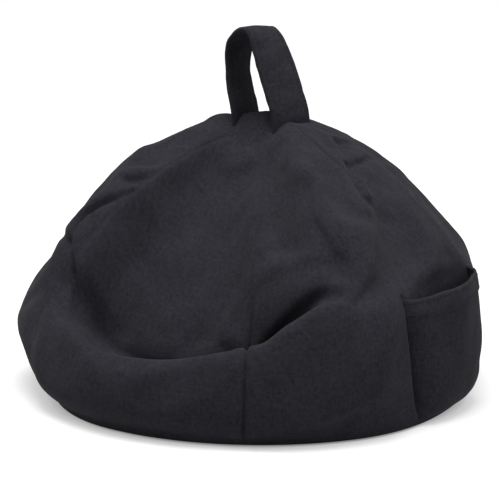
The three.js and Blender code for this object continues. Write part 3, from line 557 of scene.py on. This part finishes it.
CAP_RINGS = (0.94, 0.88, 0.75, 0.6, 0.45, 0.3, 0.15)
# the cover's hidden floor over the base cloth: share of the radius, and height
FLOOR_RINGS = ((0.985, 4.5), (0.96, 7.0), (0.5, 8.5), (0.1, 8.5))


def build_cover():
    n, m = GRID.shape[:2]
    rim = GRID[:, -1]
    middle = np.array([0.0, CAP_SHIFT, 0.0])
    rings = [GRID[:, k] for k in range(m)]
    for share in CAP_RINGS:
        ring = middle + (rim - middle) * share
        ring[:, 2] = rim[:, 2] + (CAP_TOP - rim[:, 2]) * (1 - share ** 2)
        ring[:, 2] += 0.8 * hash_noise(ring[:, 0] / 11.0, ring[:, 1] / 11.0, 2.0) * (1 - share)
        rings.append(ring)
    under = GRID[:, 0].copy()
    for share, height in FLOOR_RINGS:
        ring = under * share
        ring[:, 2] = height
        rings.insert(0, ring)
    low = len(FLOOR_RINGS)
    rings = np.array(rings)
    count = len(rings)
    verts = rings.reshape(-1, 3)
    top = len(verts)
    verts = np.vstack([verts, [0.0, CAP_SHIFT, CAP_TOP], [0.0, 0.0, FLOOR_RINGS[-1][1]]])
    length = run_along(rings, 0)
    far = np.hypot(rings[..., 0], rings[..., 1] - CAP_SHIFT * 0.5)
    faces, uv = [], []
    for c in range(n):
        nxt = (c + 1) % n
        a0, a1 = ANGLES[c], ANGLES[nxt] if nxt else 180.0
        centre = panel_middle((a0 + a1) / 2)
        for r in range(count - 1):
            faces.append((r * n + c, r * n + nxt, (r + 1) * n + nxt, (r + 1) * n + c))
            if low <= r < low + m - 1:
                for ring, col, a in ((r, c, a0), (r, nxt, a1), (r + 1, nxt, a1), (r + 1, c, a0)):
                    uv.append((math.radians(a - centre) * far[ring, col], length[ring, col]))
            else:
                for ring, col in ((r, c), (r, nxt), (r + 1, nxt), (r + 1, c)):
                    uv.append(tuple(rings[ring, col, :2]))
        faces.append(((count - 1) * n + c, (count - 1) * n + nxt, top))
        uv += [tuple(verts[k, :2]) for k in faces[-1]]
        faces.append((nxt, c, top + 1))
        uv += [tuple(verts[k, :2]) for k in faces[-1]]
    return make_object("cushion_cover", verts, faces, uv)


def grid_area(grid):
    """Area of a grid of points, in square millimetres."""
    a = grid[1:, 1:] - grid[:-1, :-1]
    b = grid[1:, :-1] - grid[:-1, 1:]
    return float(0.5 * np.linalg.norm(np.cross(a, b), axis=-1).sum())


def thick_sheet(name, grid, thick, uv_grid):
    """A closed sheet between a grid of points [row, column] and the same grid set back."""
    rows, cols = grid.shape[:2]
    back = grid - unit(np.cross(np.gradient(grid, axis=1), np.gradient(grid, axis=0))) * thick
    back[..., 2] = np.maximum(back[..., 2], SHEET_FLOOR)
    verts = np.vstack([grid.reshape(-1, 3), back.reshape(-1, 3)])
    faces, uv = [], []
    flat_uv = uv_grid.reshape(-1, 2)

    def put(*corners):
        ids = [side * rows * cols + r * cols + c for r, c, side in corners]
        faces.append(ids)
        uv.extend(tuple(flat_uv[k % (rows * cols)]) for k in ids)

    for r in range(rows - 1):
        for c in range(cols - 1):
            put((r, c, 0), (r, c + 1, 0), (r + 1, c + 1, 0), (r + 1, c, 0))
            put((r, c, 1), (r + 1, c, 1), (r + 1, c + 1, 1), (r, c + 1, 1))
    for c in range(cols - 1):
        put((0, c, 1), (0, c + 1, 1), (0, c + 1, 0), (0, c, 0))
        put((rows - 1, c, 0), (rows - 1, c + 1, 0), (rows - 1, c + 1, 1), (rows - 1, c, 1))
    for r in range(rows - 1):
        put((r, 0, 0), (r + 1, 0, 0), (r + 1, 0, 1), (r, 0, 1))
        put((r, cols - 1, 1), (r + 1, cols - 1, 1), (r + 1, cols - 1, 0), (r, cols - 1, 0))
    return make_object(name, verts, faces, uv)


# ---- the pocket
def pocket_point(across, height, stand):
    """A point of the pocket: -1 to 1 across it, at a height, and how far it stands off the wall."""
    facing_angle = math.radians((POCKET_FROM + POCKET_TO) / 2)
    facing = np.array([math.sin(facing_angle), -math.cos(facing_angle), 0.0])
    seam = POCKET_FROM + POCKET_LEAN * max(1 - height / POCKET_LEAN_TOP, 0.0)
    angle = mix(seam, POCKET_TO, 0.5 + 0.5 * across)
    tuck = min(max((height - POCKET_FOOT) / POCKET_TUCK, 0.0), 1.0)
    rise = math.sqrt(1 - (1 - tuck) ** 2)
    lift = (height - POCKET_FOOT) / (POCKET_MOUTH - POCKET_FOOT)
    room = (POCKET_DEPTH * rise + POCKET_FLARE * max(lift, 0) ** 2) * (1 - abs(across) ** 3.5)
    slack = hash_noise(np.array([across * 2.1 + 5.0]), np.array([height / 23.0]), 12.0)[0]
    slack += 0.5 * hash_noise(np.array([across * 4.3]), np.array([height / 12.0]), 15.0)[0]
    wall = wall_at(angle, height)
    room += float(pocket_dent(np.array(angle), np.array(height)))
    clear = mix(-0.6, 0.8 + stand + 0.9 * slack, float(ease((height - POCKET_START) / 9.0)))
    return wall + facing * (room + clear * (1 - across ** 8))


def build_pocket():
    cols, rows = 71, 61
    across = np.sin((np.linspace(0, 1, cols) - 0.5) * math.pi)
    grid = np.zeros((rows, cols, 3))
    for r in range(rows):
        for c in range(cols):
            top = mix(POCKET_MOUTH_FRONT, POCKET_MOUTH, 0.5 + 0.5 * across[c])
            top += MOUTH_BOW * (1 - across[c] ** 2)
            height = mix(POCKET_START, top, (r / (rows - 1)) ** 1.1)
            hem = HEM_STEP if height > top - POCKET_HEM else 0.0
            grid[r, c] = pocket_point(across[c], height, POCKET_STAND + hem)
    width, length = run_along(grid, 1), run_along(grid, 0)
    obj = thick_sheet("pocket_cloth", grid, POCKET_THICK, np.stack([width, length], -1))
    return obj, grid, float(width[:, -1].max()), float(length[-1].max()), grid_area(grid)


# ---- the base
def channel_height(x, y):
    """Height of the base cloth: flat, with a shallow channel that the zip lies in."""
    end = np.abs(x) - (ZIP_LENGTH / 2 + CHANNEL_END - SLOPE_IN_END)
    side = np.abs(y - ZIP_Y) - (CHANNEL_WIDTH / 2 - SLOPE_IN_SIDE)
    return CHANNEL_HEIGHT * (1 - ease(np.maximum(end, side) / CHANNEL_SLOPE))


def base_slack(x, y):
    """How far the base cloth rises in soft waves."""
    return BASE_SLACK * (1 + hash_noise(x / 26.0, y / 30.0, 6.0))


def base_edge(x, y):
    """Radius of the base towards a point."""
    return base_radius(np.degrees(np.arctan2(x, -y)))


def build_base(sign):
    """Half of the base, in front of the zip (-1) or behind it (1)."""
    cols, rows = 151, 41
    reach = math.sqrt(base_radius(95.0) ** 2 - ZIP_Y ** 2)
    u = np.linspace(0, 1, cols)
    line_x = mix(6.0 - reach, reach - 6.0, u)
    gap = SLIT_WIDTH / 2 * ease((ZIP_LENGTH / 2 + ZIP_END_ROOM - np.abs(line_x)) / 3.0) + 0.15
    start = math.atan2(ZIP_Y, -reach) - (2 * math.pi if sign < 0 else 0.0)
    turn = mix(start, math.atan2(ZIP_Y, reach), u)
    edge = base_edge(np.cos(turn), np.sin(turn))
    circle = np.stack([edge * np.cos(turn), edge * np.sin(turn)], -1)
    inner = np.stack([line_x, ZIP_Y + sign * gap], -1)
    grid = np.zeros((rows, cols, 3))
    for r in range(rows):
        v = 1 - (1 - r / (rows - 1)) ** 1.4
        grid[r, :, :2] = mix(inner, circle, v)
    x, y = grid[..., 0], grid[..., 1]
    rim = np.clip((np.hypot(x, y) - base_edge(x, y) + BASE_RIM) / BASE_RIM, 0, 1)
    grid[..., 2] = np.maximum(channel_height(x, y), BASE_SEAM_HEIGHT * rim ** 2)
    grid[..., 2] += base_slack(x, y) * (1 - rim)
    uv = grid[..., :2].copy()
    if sign > 0:
        grid, uv = grid[:, ::-1], uv[:, ::-1]
    return thick_sheet("base_cloth_back" if sign > 0 else "base_cloth_front", grid, BASE_THICK, uv), grid


# ---- the handle strap
STRAP_PATH = [  # x, y, z, then the turn of the strap's width away from straight fore and aft
    (-18.6, 8.0, 172.0, -5.0), (-19.3, 8.0, 183.0, -5.0), (-22.2, 8.0, 196.0, -7.0),
    (-24.8, 7.8, 208.0, -10.0), (-24.6, 7.4, 218.0, -9.0), (-21.5, 7.0, 228.0, -6.0),
    (-15.0, 6.6, 236.0, -2.0), (-7.5, 6.6, 238.4, 2.0), (-1.6, 7.0, 233.5, 6.0),
    (2.4, 7.5, 224.0, 10.0), (7.4, 8.0, 211.0, 13.0), (12.8, 8.0, 197.0, 15.0),
    (17.5, 8.0, 184.0, 15.0), (18.8, 8.0, 172.0, 14.0)]


def build_strap():
    """The strap, and the four lines on it that its stitches follow."""
    path = smooth_line(STRAP_PATH, 150)
    centre = path[:, :3]
    along = unit(np.gradient(centre, axis=0))
    turn = np.radians(path[:, 3])
    width = np.stack([np.sin(turn), np.cos(turn), -0.06 - 0.06 * ease((centre[:, 2] - 212.0) / 22.0)], -1)
    width = unit(width - along * np.einsum("ij,ij->i", width, along)[:, None])
    out = np.cross(width, along)
    out *= np.sign(np.einsum("ij,ij->i", out, centre - np.array([-2.0, 8.0, 205.0])))[:, None]
    half, thick, rounded, line_in = STRAP_WIDTH / 2, STRAP_THICK / 2, 1.4, 4.0
    section = []
    for side in (1, -1):
        for s in np.linspace(-1, 1, 25):
            x = s * side * half
            edge = max(abs(x) - (half - rounded), 0.0) / rounded
            y = thick * (0.35 + 0.65 * math.sqrt(max(1 - edge ** 2, 0.0)))
            line = math.exp(-((abs(x) - (half - line_in)) / 0.9) ** 2)
            section.append((x, side * (y - 0.45 * line)))
    section = np.array(section)
    run = run_along(centre, 0)
    verts = []
    for k in range(len(centre)):
        ripple = 0.9 * hash_noise(np.full(len(section), run[k] / 14.0), section[:, 0] / 16.0, 4.0)
        ripple += 0.35 * hash_noise(np.full(len(section), run[k] / 5.0), section[:, 0] / 9.0, 9.0)
        hold = ease(run[k] / STRAP_SEWN) * ease((run[-1] - run[k]) / STRAP_SEWN)
        thickness = section[:, 1:2] + (ripple * hold)[:, None]
        verts.append(centre[k] + section[:, :1] * width[k] + thickness * out[k])
    verts = np.array(verts)
    n = len(section)
    flip = np.dot(np.cross(verts[60, 1] - verts[60, 0], verts[61, 0] - verts[60, 0]), out[60]) < 0
    faces, uv = [], []
    for k in range(len(centre) - 1):
        for c in range(n):
            d = (c + 1) % n
            ids = (k * n + c, k * n + d, (k + 1) * n + d, (k + 1) * n + c)
            spots = ((section[c, 0], run[k]), (section[d, 0], run[k]),
                     (section[d, 0], run[k + 1]), (section[c, 0], run[k + 1]))
            if flip:
                ids, spots = ids[::-1], spots[::-1]
            faces.append(ids)
            uv += spots
    last = (len(centre) - 1) * n
    ends = [tuple(range(n)), tuple(last + c for c in reversed(range(n)))]
    for ids in ends:
        faces.append(ids[::-1] if not flip else ids)
        uv += [(0.0, 0.0)] * n
    obj = make_object("handle_strap", verts.reshape(-1, 3), faces, uv)
    return obj, [verts[:, k] for k in (3, 21, 28, 46)]


# ---- zip pull
def build_pull():
    """A slotted pull that lies flat under the slider, with the loop that holds it."""
    low, high, bevel = 0.35, 1.25, 0.25
    turn = np.linspace(0, 2 * math.pi, 44, endpoint=False)

    def outline(long, wide, power):
        c, s = np.cos(turn), np.sin(turn)
        size = (np.abs(c / long) ** power + np.abs(s / wide) ** power) ** (-1 / power)
        return np.stack([PULL_X + size * c, ZIP_Y + size * s], -1)

    plate = []
    for long, wide, power, height in (
            (8.0, 3.2, 5, low + bevel), (8.0, 3.2, 5, high - bevel), (7.75, 2.95, 5, high),
            (5.25, 1.75, 4, high), (5.0, 1.5, 4, high - bevel), (5.0, 1.5, 4, low + bevel),
            (5.25, 1.75, 4, low), (7.75, 2.95, 5, low)):
        flat = outline(long, wide, power)
        plate.append(np.column_stack([flat, np.full(len(flat), height)]))
    plate = np.array(plate)
    rings, n = plate.shape[:2]
    verts = plate.reshape(-1, 3).tolist()
    faces = [(r * n + c, r * n + (c + 1) % n, (r + 1) % rings * n + (c + 1) % n, (r + 1) % rings * n + c)
             for r in range(rings) for c in range(n)]
    inner, outer = PULL_X + 3.6, PULL_X + 9.0
    loop = smooth_line([(inner, 1.6), (inner + 0.2, 0.7), (inner + 0.9, 0.28), (outer - 0.9, 0.28),
                        (outer - 0.2, 0.7), (outer, 1.6)], 25)
    lean = unit(np.gradient(loop, axis=0))
    start = len(verts)
    ways = [(0.9 * math.cos(a), 0.22 * math.sin(a)) for a in np.linspace(0, 2 * math.pi, 12, endpoint=False)]
    for spot, way in zip(loop, lean):
        for y, z in ways:
            verts.append((spot[0] - way[1] * z, ZIP_Y + y, spot[1] + way[0] * z))
    m = len(ways)
    for k in range(start, start + (len(loop) - 1) * m, m):
        faces += [(k + c, k + m + c, k + m + (c + 1) % m, k + (c + 1) % m) for c in range(m)]
    faces.append(tuple(start + c for c in range(m)))
    faces.append(tuple(start + (len(loop) - 1) * m + c for c in reversed(range(m))))
    obj = make_object("zip_pull", verts, faces)
    shell = bmesh.new()
    shell.from_mesh(obj.data)
    bmesh.ops.recalc_face_normals(shell, faces=shell.faces)
    shell.to_mesh(obj.data)
    shell.free()
    return obj


# ---- materials
def feed(tree, made, feeds):
    """Sets inputs of a node, each to another node's output or to a plain value."""
    for key, value in feeds.items():
        if isinstance(value, bpy.types.NodeSocket):
            tree.links.new(value, made.inputs[key])
        else:
            made.inputs[key].default_value = value


def node(tree, kind, feeds=None, **values):
    """A new node with its settings and what feeds it."""
    made = tree.nodes.new(kind)
    for key, value in values.items():
        setattr(made, key, value)
    feed(tree, made, feeds or {})
    return made


def calc(tree, operation, *feeds):
    return node(tree, "ShaderNodeMath", dict(enumerate(feeds)), operation=operation).outputs[0]


def noise(tree, place, scale, detail):
    feeds = {"Vector": place, "Scale": scale, "Detail": detail}
    return node(tree, "ShaderNodeTexNoise", feeds).outputs["Fac"]


def bump(tree, height, strength, distance, **under):
    feeds = {"Height": height, "Strength": strength, "Distance": distance, **under}
    return node(tree, "ShaderNodeBump", feeds).outputs["Normal"]


def colours(tree, tone, *stops):
    """A colour between two stops, each a place and a colour."""
    ramp = node(tree, "ShaderNodeValToRGB", {"Fac": tone})
    for element, (place, colour) in zip(ramp.color_ramp.elements, stops):
        element.position, element.color = place, (*colour, 1)
    return ramp.outputs["Color"]


def new_material(name, roughness, sheen, specular, metallic):
    mat = bpy.data.materials.new(name)
    mat.use_nodes = True
    shader = mat.node_tree.nodes["Principled BSDF"]
    feed(mat.node_tree, shader, {"Roughness": roughness, "Sheen Weight": sheen, "Sheen Roughness": 0.55,
                                 "Specular IOR Level": specular, "Metallic": metallic})
    return mat, mat.node_tree, shader


def woven_material(name, dark, light, thread, depth):
    """Plain woven cotton: over and under threads, slubs along both ways, soft mottling."""
    mat, tree, shader = new_material(name, 0.95, 0.03, 0.1, 0.0)
    cloth = node(tree, "ShaderNodeUVMap", uv_map="cloth").outputs["UV"]
    body = node(tree, "ShaderNodeTexCoord").outputs["Object"]
    threads, slubs = [], []
    for way, scale in (("X", (900.0, 90.0, 1.0)), ("Y", (90.0, 900.0, 1.0))):
        wave = node(tree, "ShaderNodeTexWave", {
            "Vector": cloth, "Scale": 2 * math.pi / (20 * thread * 2), "Distortion": 0.6,
            "Detail Scale": 1.5}, bands_direction=way)
        threads.append(calc(tree, "SUBTRACT", wave.outputs["Fac"], 0.5))
        drawn = node(tree, "ShaderNodeMapping", {"Vector": cloth, "Scale": scale})
        slubs.append(noise(tree, drawn.outputs["Vector"], 1.0, 2.0))
    slub = calc(tree, "ADD", *slubs)
    tone = calc(tree, "MULTIPLY_ADD", slub, 0.55, noise(tree, body, 420.0, 2.0))
    tone = calc(tree, "MULTIPLY_ADD", noise(tree, body, 38.0, 4.0), 0.7, tone)
    height = calc(tree, "MULTIPLY_ADD", slub, 0.4, calc(tree, "MULTIPLY", *threads))
    weave = bump(tree, height, depth, 0.00025)
    feed(tree, shader, {
        "Base Color": colours(tree, calc(tree, "MULTIPLY", tone, 0.5), (0.42, dark), (1.0, light)),
        "Normal": bump(tree, noise(tree, body, 95.0, 3.0), 0.35, 0.0012, Normal=weave)})
    return mat


def worn_material(name, dark, light, roughness, metallic, scale, specular=0.5):
    """Plastic or metal with fine mottling and brushed roughness."""
    mat, tree, shader = new_material(name, roughness, 0.0, specular, metallic)
    grain = noise(tree, node(tree, "ShaderNodeTexCoord").outputs["Object"], scale, 4.0)
    rough = node(tree, "ShaderNodeMapRange",
                 {"Value": grain, "To Min": roughness - 0.1, "To Max": roughness + 0.12})
    feed(tree, shader, {"Base Color": colours(tree, grain, (0.3, dark), (0.75, light)),
                        "Roughness": rough.outputs["Result"], "Normal": bump(tree, grain, 0.2, 0.0001)})
    return mat


COVER = woven_material("charcoal_cotton", (0.0136, 0.0130, 0.0167), (0.0440, 0.0416, 0.0530),
                       thread=0.00062, depth=0.5)
STRAP = woven_material("strap_cotton", (0.0134, 0.0129, 0.0165), (0.0430, 0.0408, 0.0522),
                       thread=0.00055, depth=0.55)
THREAD = worn_material("sewing_thread", (0.0112, 0.0108, 0.0136), (0.0300, 0.0287, 0.0362),
                       0.75, 0.0, 900.0, 0.15)
TAPE = worn_material("zip_tape_weave", (0.010, 0.010, 0.011), (0.022, 0.022, 0.025), 0.85, 0.0, 700.0)
COIL = worn_material("zip_coil_plastic", (0.012, 0.012, 0.013), (0.028, 0.028, 0.030), 0.45, 0.0, 600.0)
METAL = worn_material("zip_slider_metal", (0.10, 0.10, 0.105), (0.20, 0.20, 0.205), 0.38, 1.0, 300.0)


def dress(obj, mat):
    obj.data.materials.clear()
    obj.data.materials.append(mat)


# ---- sewing and zip teeth, by Geometry Nodes
def repeat_tree(name):
    """Tree that sets one small rounded form after another along lines of points."""
    tree = bpy.data.node_groups.new(name, "GeometryNodeTree")
    kinds = {"Lines": "Geometry", "Pitch": "Float", "Along": "Float", "Across": "Float", "High": "Float",
             "Stagger": "Float", "Material": "Material"}
    for label, kind in kinds.items():
        tree.interface.new_socket(label, in_out="INPUT", socket_type="NodeSocket" + kind)
    tree.interface.new_socket("Mesh", in_out="OUTPUT", socket_type="NodeSocketGeometry")
    given = node(tree, "NodeGroupInput").outputs
    curve = node(tree, "GeometryNodeMeshToCurve", {"Mesh": given["Lines"]})
    even = node(tree, "GeometryNodeResampleCurve",
                {"Curve": curve.outputs["Curve"], "Length": given["Pitch"]}, mode="LENGTH")
    # every other one is shifted to the opposite side of the line
    odd = calc(tree, "MODULO", node(tree, "GeometryNodeInputIndex").outputs["Index"], 2.0)
    side = calc(tree, "MULTIPLY_ADD", odd, 2.0, -1.0)
    shift = node(tree, "ShaderNodeCombineXYZ", {"Y": calc(tree, "MULTIPLY", side, given["Stagger"])})
    moved = node(tree, "GeometryNodeSetPosition",
                 {"Geometry": even.outputs["Curve"], "Offset": shift.outputs["Vector"]})
    # one form, turned along the line and scaled to its three sizes
    form = node(tree, "GeometryNodeMeshUVSphere", {"Segments": 8, "Rings": 5, "Radius": 0.5})
    way = node(tree, "GeometryNodeInputTangent").outputs["Tangent"]
    turn = node(tree, "FunctionNodeAlignRotationToVector", {"Vector": way}, axis="X")
    size = node(tree, "ShaderNodeCombineXYZ",
                {"X": given["Along"], "Y": given["Across"], "Z": given["High"]})
    made = node(tree, "GeometryNodeInstanceOnPoints", {
        "Points": moved.outputs["Geometry"], "Instance": form.outputs["Mesh"],
        "Rotation": turn.outputs["Rotation"], "Scale": size.outputs["Vector"]}).outputs["Instances"]
    for kind in ("RealizeInstances", "SetShadeSmooth"):
        made = node(tree, "GeometryNode" + kind, {"Geometry": made}).outputs["Geometry"]
    made = node(tree, "GeometryNodeSetMaterial", {"Geometry": made, "Material": given["Material"]})
    node(tree, "NodeGroupOutput", {"Mesh": made.outputs["Geometry"]})
    return tree


REPEAT = repeat_tree("forms_along_lines")


def repeated(name, lines, sizes, mat):
    """A plain mesh of small forms set along lines, which are given in millimetres."""
    verts, edges = [], []
    for line in lines:
        edges += [(len(verts) + k, len(verts) + k + 1) for k in range(len(line) - 1)]
        verts += (np.asarray(line, float) * MM).tolist()
    mesh = bpy.data.meshes.new(name + "_lines")
    mesh.from_pydata(verts, edges, [])
    obj = add_object(name, mesh)
    rows = obj.modifiers.new("rows", "NODES")
    rows.node_group = REPEAT
    keys = {s.name: s.identifier for s in REPEAT.interface.items_tree if s.in_out == "INPUT"}
    for label, value in sizes.items():
        rows[keys[label]] = value * MM
    rows[keys["Material"]] = mat
    graph = bpy.context.evaluated_depsgraph_get()
    made = bpy.data.meshes.new_from_object(obj.evaluated_get(graph), depsgraph=graph)
    obj.modifiers.clear()
    obj.data = made
    made.name = name
    bpy.data.meshes.remove(mesh)
    return obj


STITCH = {"Pitch": STITCH_PITCH, "Along": STITCH_LENGTH, "Across": THREAD_THICK, "High": THREAD_THICK,
          "Stagger": 0.0}


def line_below(grid, drop):
    """The points that lie a given way down from the last row of a grid."""
    down = grid[::-1]
    run = run_along(down, 0)
    return np.array([[np.interp(drop, run[:, c], down[:, c, k]) for k in range(3)]
                     for c in range(grid.shape[1])])


# ---- pieces
cover = build_cover()
dress(cover, COVER)
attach(cover, "cushion")
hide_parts("back_left_panel", "left_side_panel", "front_panel", "right_side_panel",
            "back_right_panel", "top_cap", "main_bead_bag", "ledge_bead_bag", "ledge_baffle")

pocket, pocket_grid, pocket_wide, pocket_long, pocket_area = build_pocket()
dress(pocket, COVER)
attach(pocket, "cushion")
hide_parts("side_pocket", "pocket_hem")

hem_lines = [line_below(pocket_grid, drop)[3:-3] for drop in HEM_STITCHES]
hem = repeated("pocket_stitches", hem_lines, STITCH, THREAD)
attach(hem, "cushion")

for sign, half_node in ((-1, "base_front_half"), (1, "base_back_half")):
    base, base_grid = build_base(sign)
    dress(base, COVER)
    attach(base, "cushion")
    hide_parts(half_node)

loops = []
for step in ZIP_STITCHES:
    end, side = ZIP_LENGTH / 2 + ZIP_END_ROOM + step, SLIT_WIDTH / 2 + step
    corner = [(-end, -side), (end, -side), (end, side), (-end, side), (-end, -side)]
    loop = np.vstack([np.linspace(a, b, 60) for a, b in zip(corner[:-1], corner[1:])])
    x, y = loop[:, 0], loop[:, 1] + ZIP_Y
    loops.append(np.column_stack([x, y, channel_height(x, y) + base_slack(x, y)]))
sewn = repeated("zip_stitches", loops, STITCH, THREAD)
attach(sewn, "cushion")

reach = ZIP_LENGTH / 2 - 0.4
teeth = repeated("zip_teeth", [[(-reach, ZIP_Y, CHAIN_MIDDLE), (reach, ZIP_Y, CHAIN_MIDDLE)]],
                 {"Pitch": TOOTH_PITCH, "Along": TOOTH_LENGTH, "Across": TOOTH_SHARE * CHAIN_WIDTH,
                  "High": CHAIN_THICK, "Stagger": STAGGER_SHARE * CHAIN_WIDTH}, COIL)
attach(teeth, "cushion")
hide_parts("zip_chain")

pull = build_pull()
dress(pull, METAL)
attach(pull, "slider")

strap, strap_lines = build_strap()
dress(strap, STRAP)
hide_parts("handle_loop", "handle_tab_left", "handle_tab_right")
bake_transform(strap)

edge_rows = [line[line[:, 2] > STRAP_STITCH_FROM] for line in strap_lines]
edging = repeated("strap_stitches", edge_rows, STITCH, THREAD)
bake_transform(edging)

for name, mat in (("zip_tape_front", TAPE), ("zip_tape_back", TAPE), ("zip_slider", METAL),
                  ("zip_top_stop", METAL), ("zip_bottom_stop", METAL)):
    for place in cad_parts[name].material_slots:
        place.material = mat

# ---- stage, light and camera
floor = bpy.data.meshes.new("floor")
floor.from_pydata([(-15, -15, 0), (15, -15, 0), (15, 15, 0), (-15, 15, 0)], [], [(0, 1, 2, 3)])
floor = add_object("floor", floor)
# paper that glows for the camera only, and less so close to the cushion, as a soft shadow
paper, tree, shader = new_material("studio_paper", 0.9, 0.0, 0.0, 0.0)
rays = node(tree, "ShaderNodeLightPath").outputs
mirrored = calc(tree, "MAXIMUM", rays["Is Glossy Ray"], rays["Is Transmission Ray"])
seen = calc(tree, "MAXIMUM", rays["Is Camera Ray"], mirrored)
near = node(tree, "ShaderNodeAmbientOcclusion", {"Distance": 0.05}, samples=16)
contact = node(tree, "ShaderNodeValToRGB", {"Fac": near.outputs["AO"]})
for place, grey in ((0.12, 0.3), (0.34, 0.52), (0.6, 0.63)):
    contact.color_ramp.elements.new(place).color = (grey, grey, grey, 1)
contact.color_ramp.elements[0].color = (0.18, 0.18, 0.18, 1)
contact.color_ramp.elements[-1].color = (0.7, 0.7, 0.7, 1)
feed(tree, shader, {"Base Color": (0.5, 0.5, 0.5, 1), "Emission Color": (1, 1, 1, 1),
                    "Emission Strength": calc(tree, "MULTIPLY", seen, contact.outputs[0])})
floor.data.materials.append(paper)

world = bpy.data.worlds.new("studio")
scene.world = world
world.use_nodes = True
feed(world.node_tree, world.node_tree.nodes["Background"], {"Color": (1, 1, 1, 1), "Strength": 0.26})


def lamp(name, place, size, power, aim=(0, 0, 0.1)):
    data = bpy.data.lights.new(name, "AREA")
    data.shape = "DISK"
    data.size = size
    data.energy = power
    obj = add_object(name, data)
    obj.location = place
    obj.rotation_euler = (Vector(aim) - Vector(place)).to_track_quat("-Z", "Y").to_euler()


lamp("top_light", (0.05, -0.25, 2.1), size=1.3, power=40.0)
lamp("left_light", (-1.6, -1.0, 0.9), size=1.0, power=0.7)
lamp("right_light", (1.7, 0.6, 0.9), size=1.5, power=5.5)

# the camera that was fitted to the photo
camera = bpy.data.cameras.new("camera")
camera.lens = 224.19
camera.sensor_width = 36.0
camera.sensor_fit = "HORIZONTAL"
camera.clip_end = 100.0
eye = add_object("camera", camera)
back = Vector((0.5808, -0.7790, 0.2363)).normalized()
across = Vector((0.8017, 0.5978, 0.0)).normalized()
over = back.cross(across)
eye.matrix_world = Matrix(((across.x, over.x, back.x, 1.19960), (across.y, over.y, back.y, -1.62104),
                           (across.z, over.z, back.z, 0.58102), (0, 0, 0, 1)))
scene.camera = eye
scene.view_settings.view_transform = "Standard"
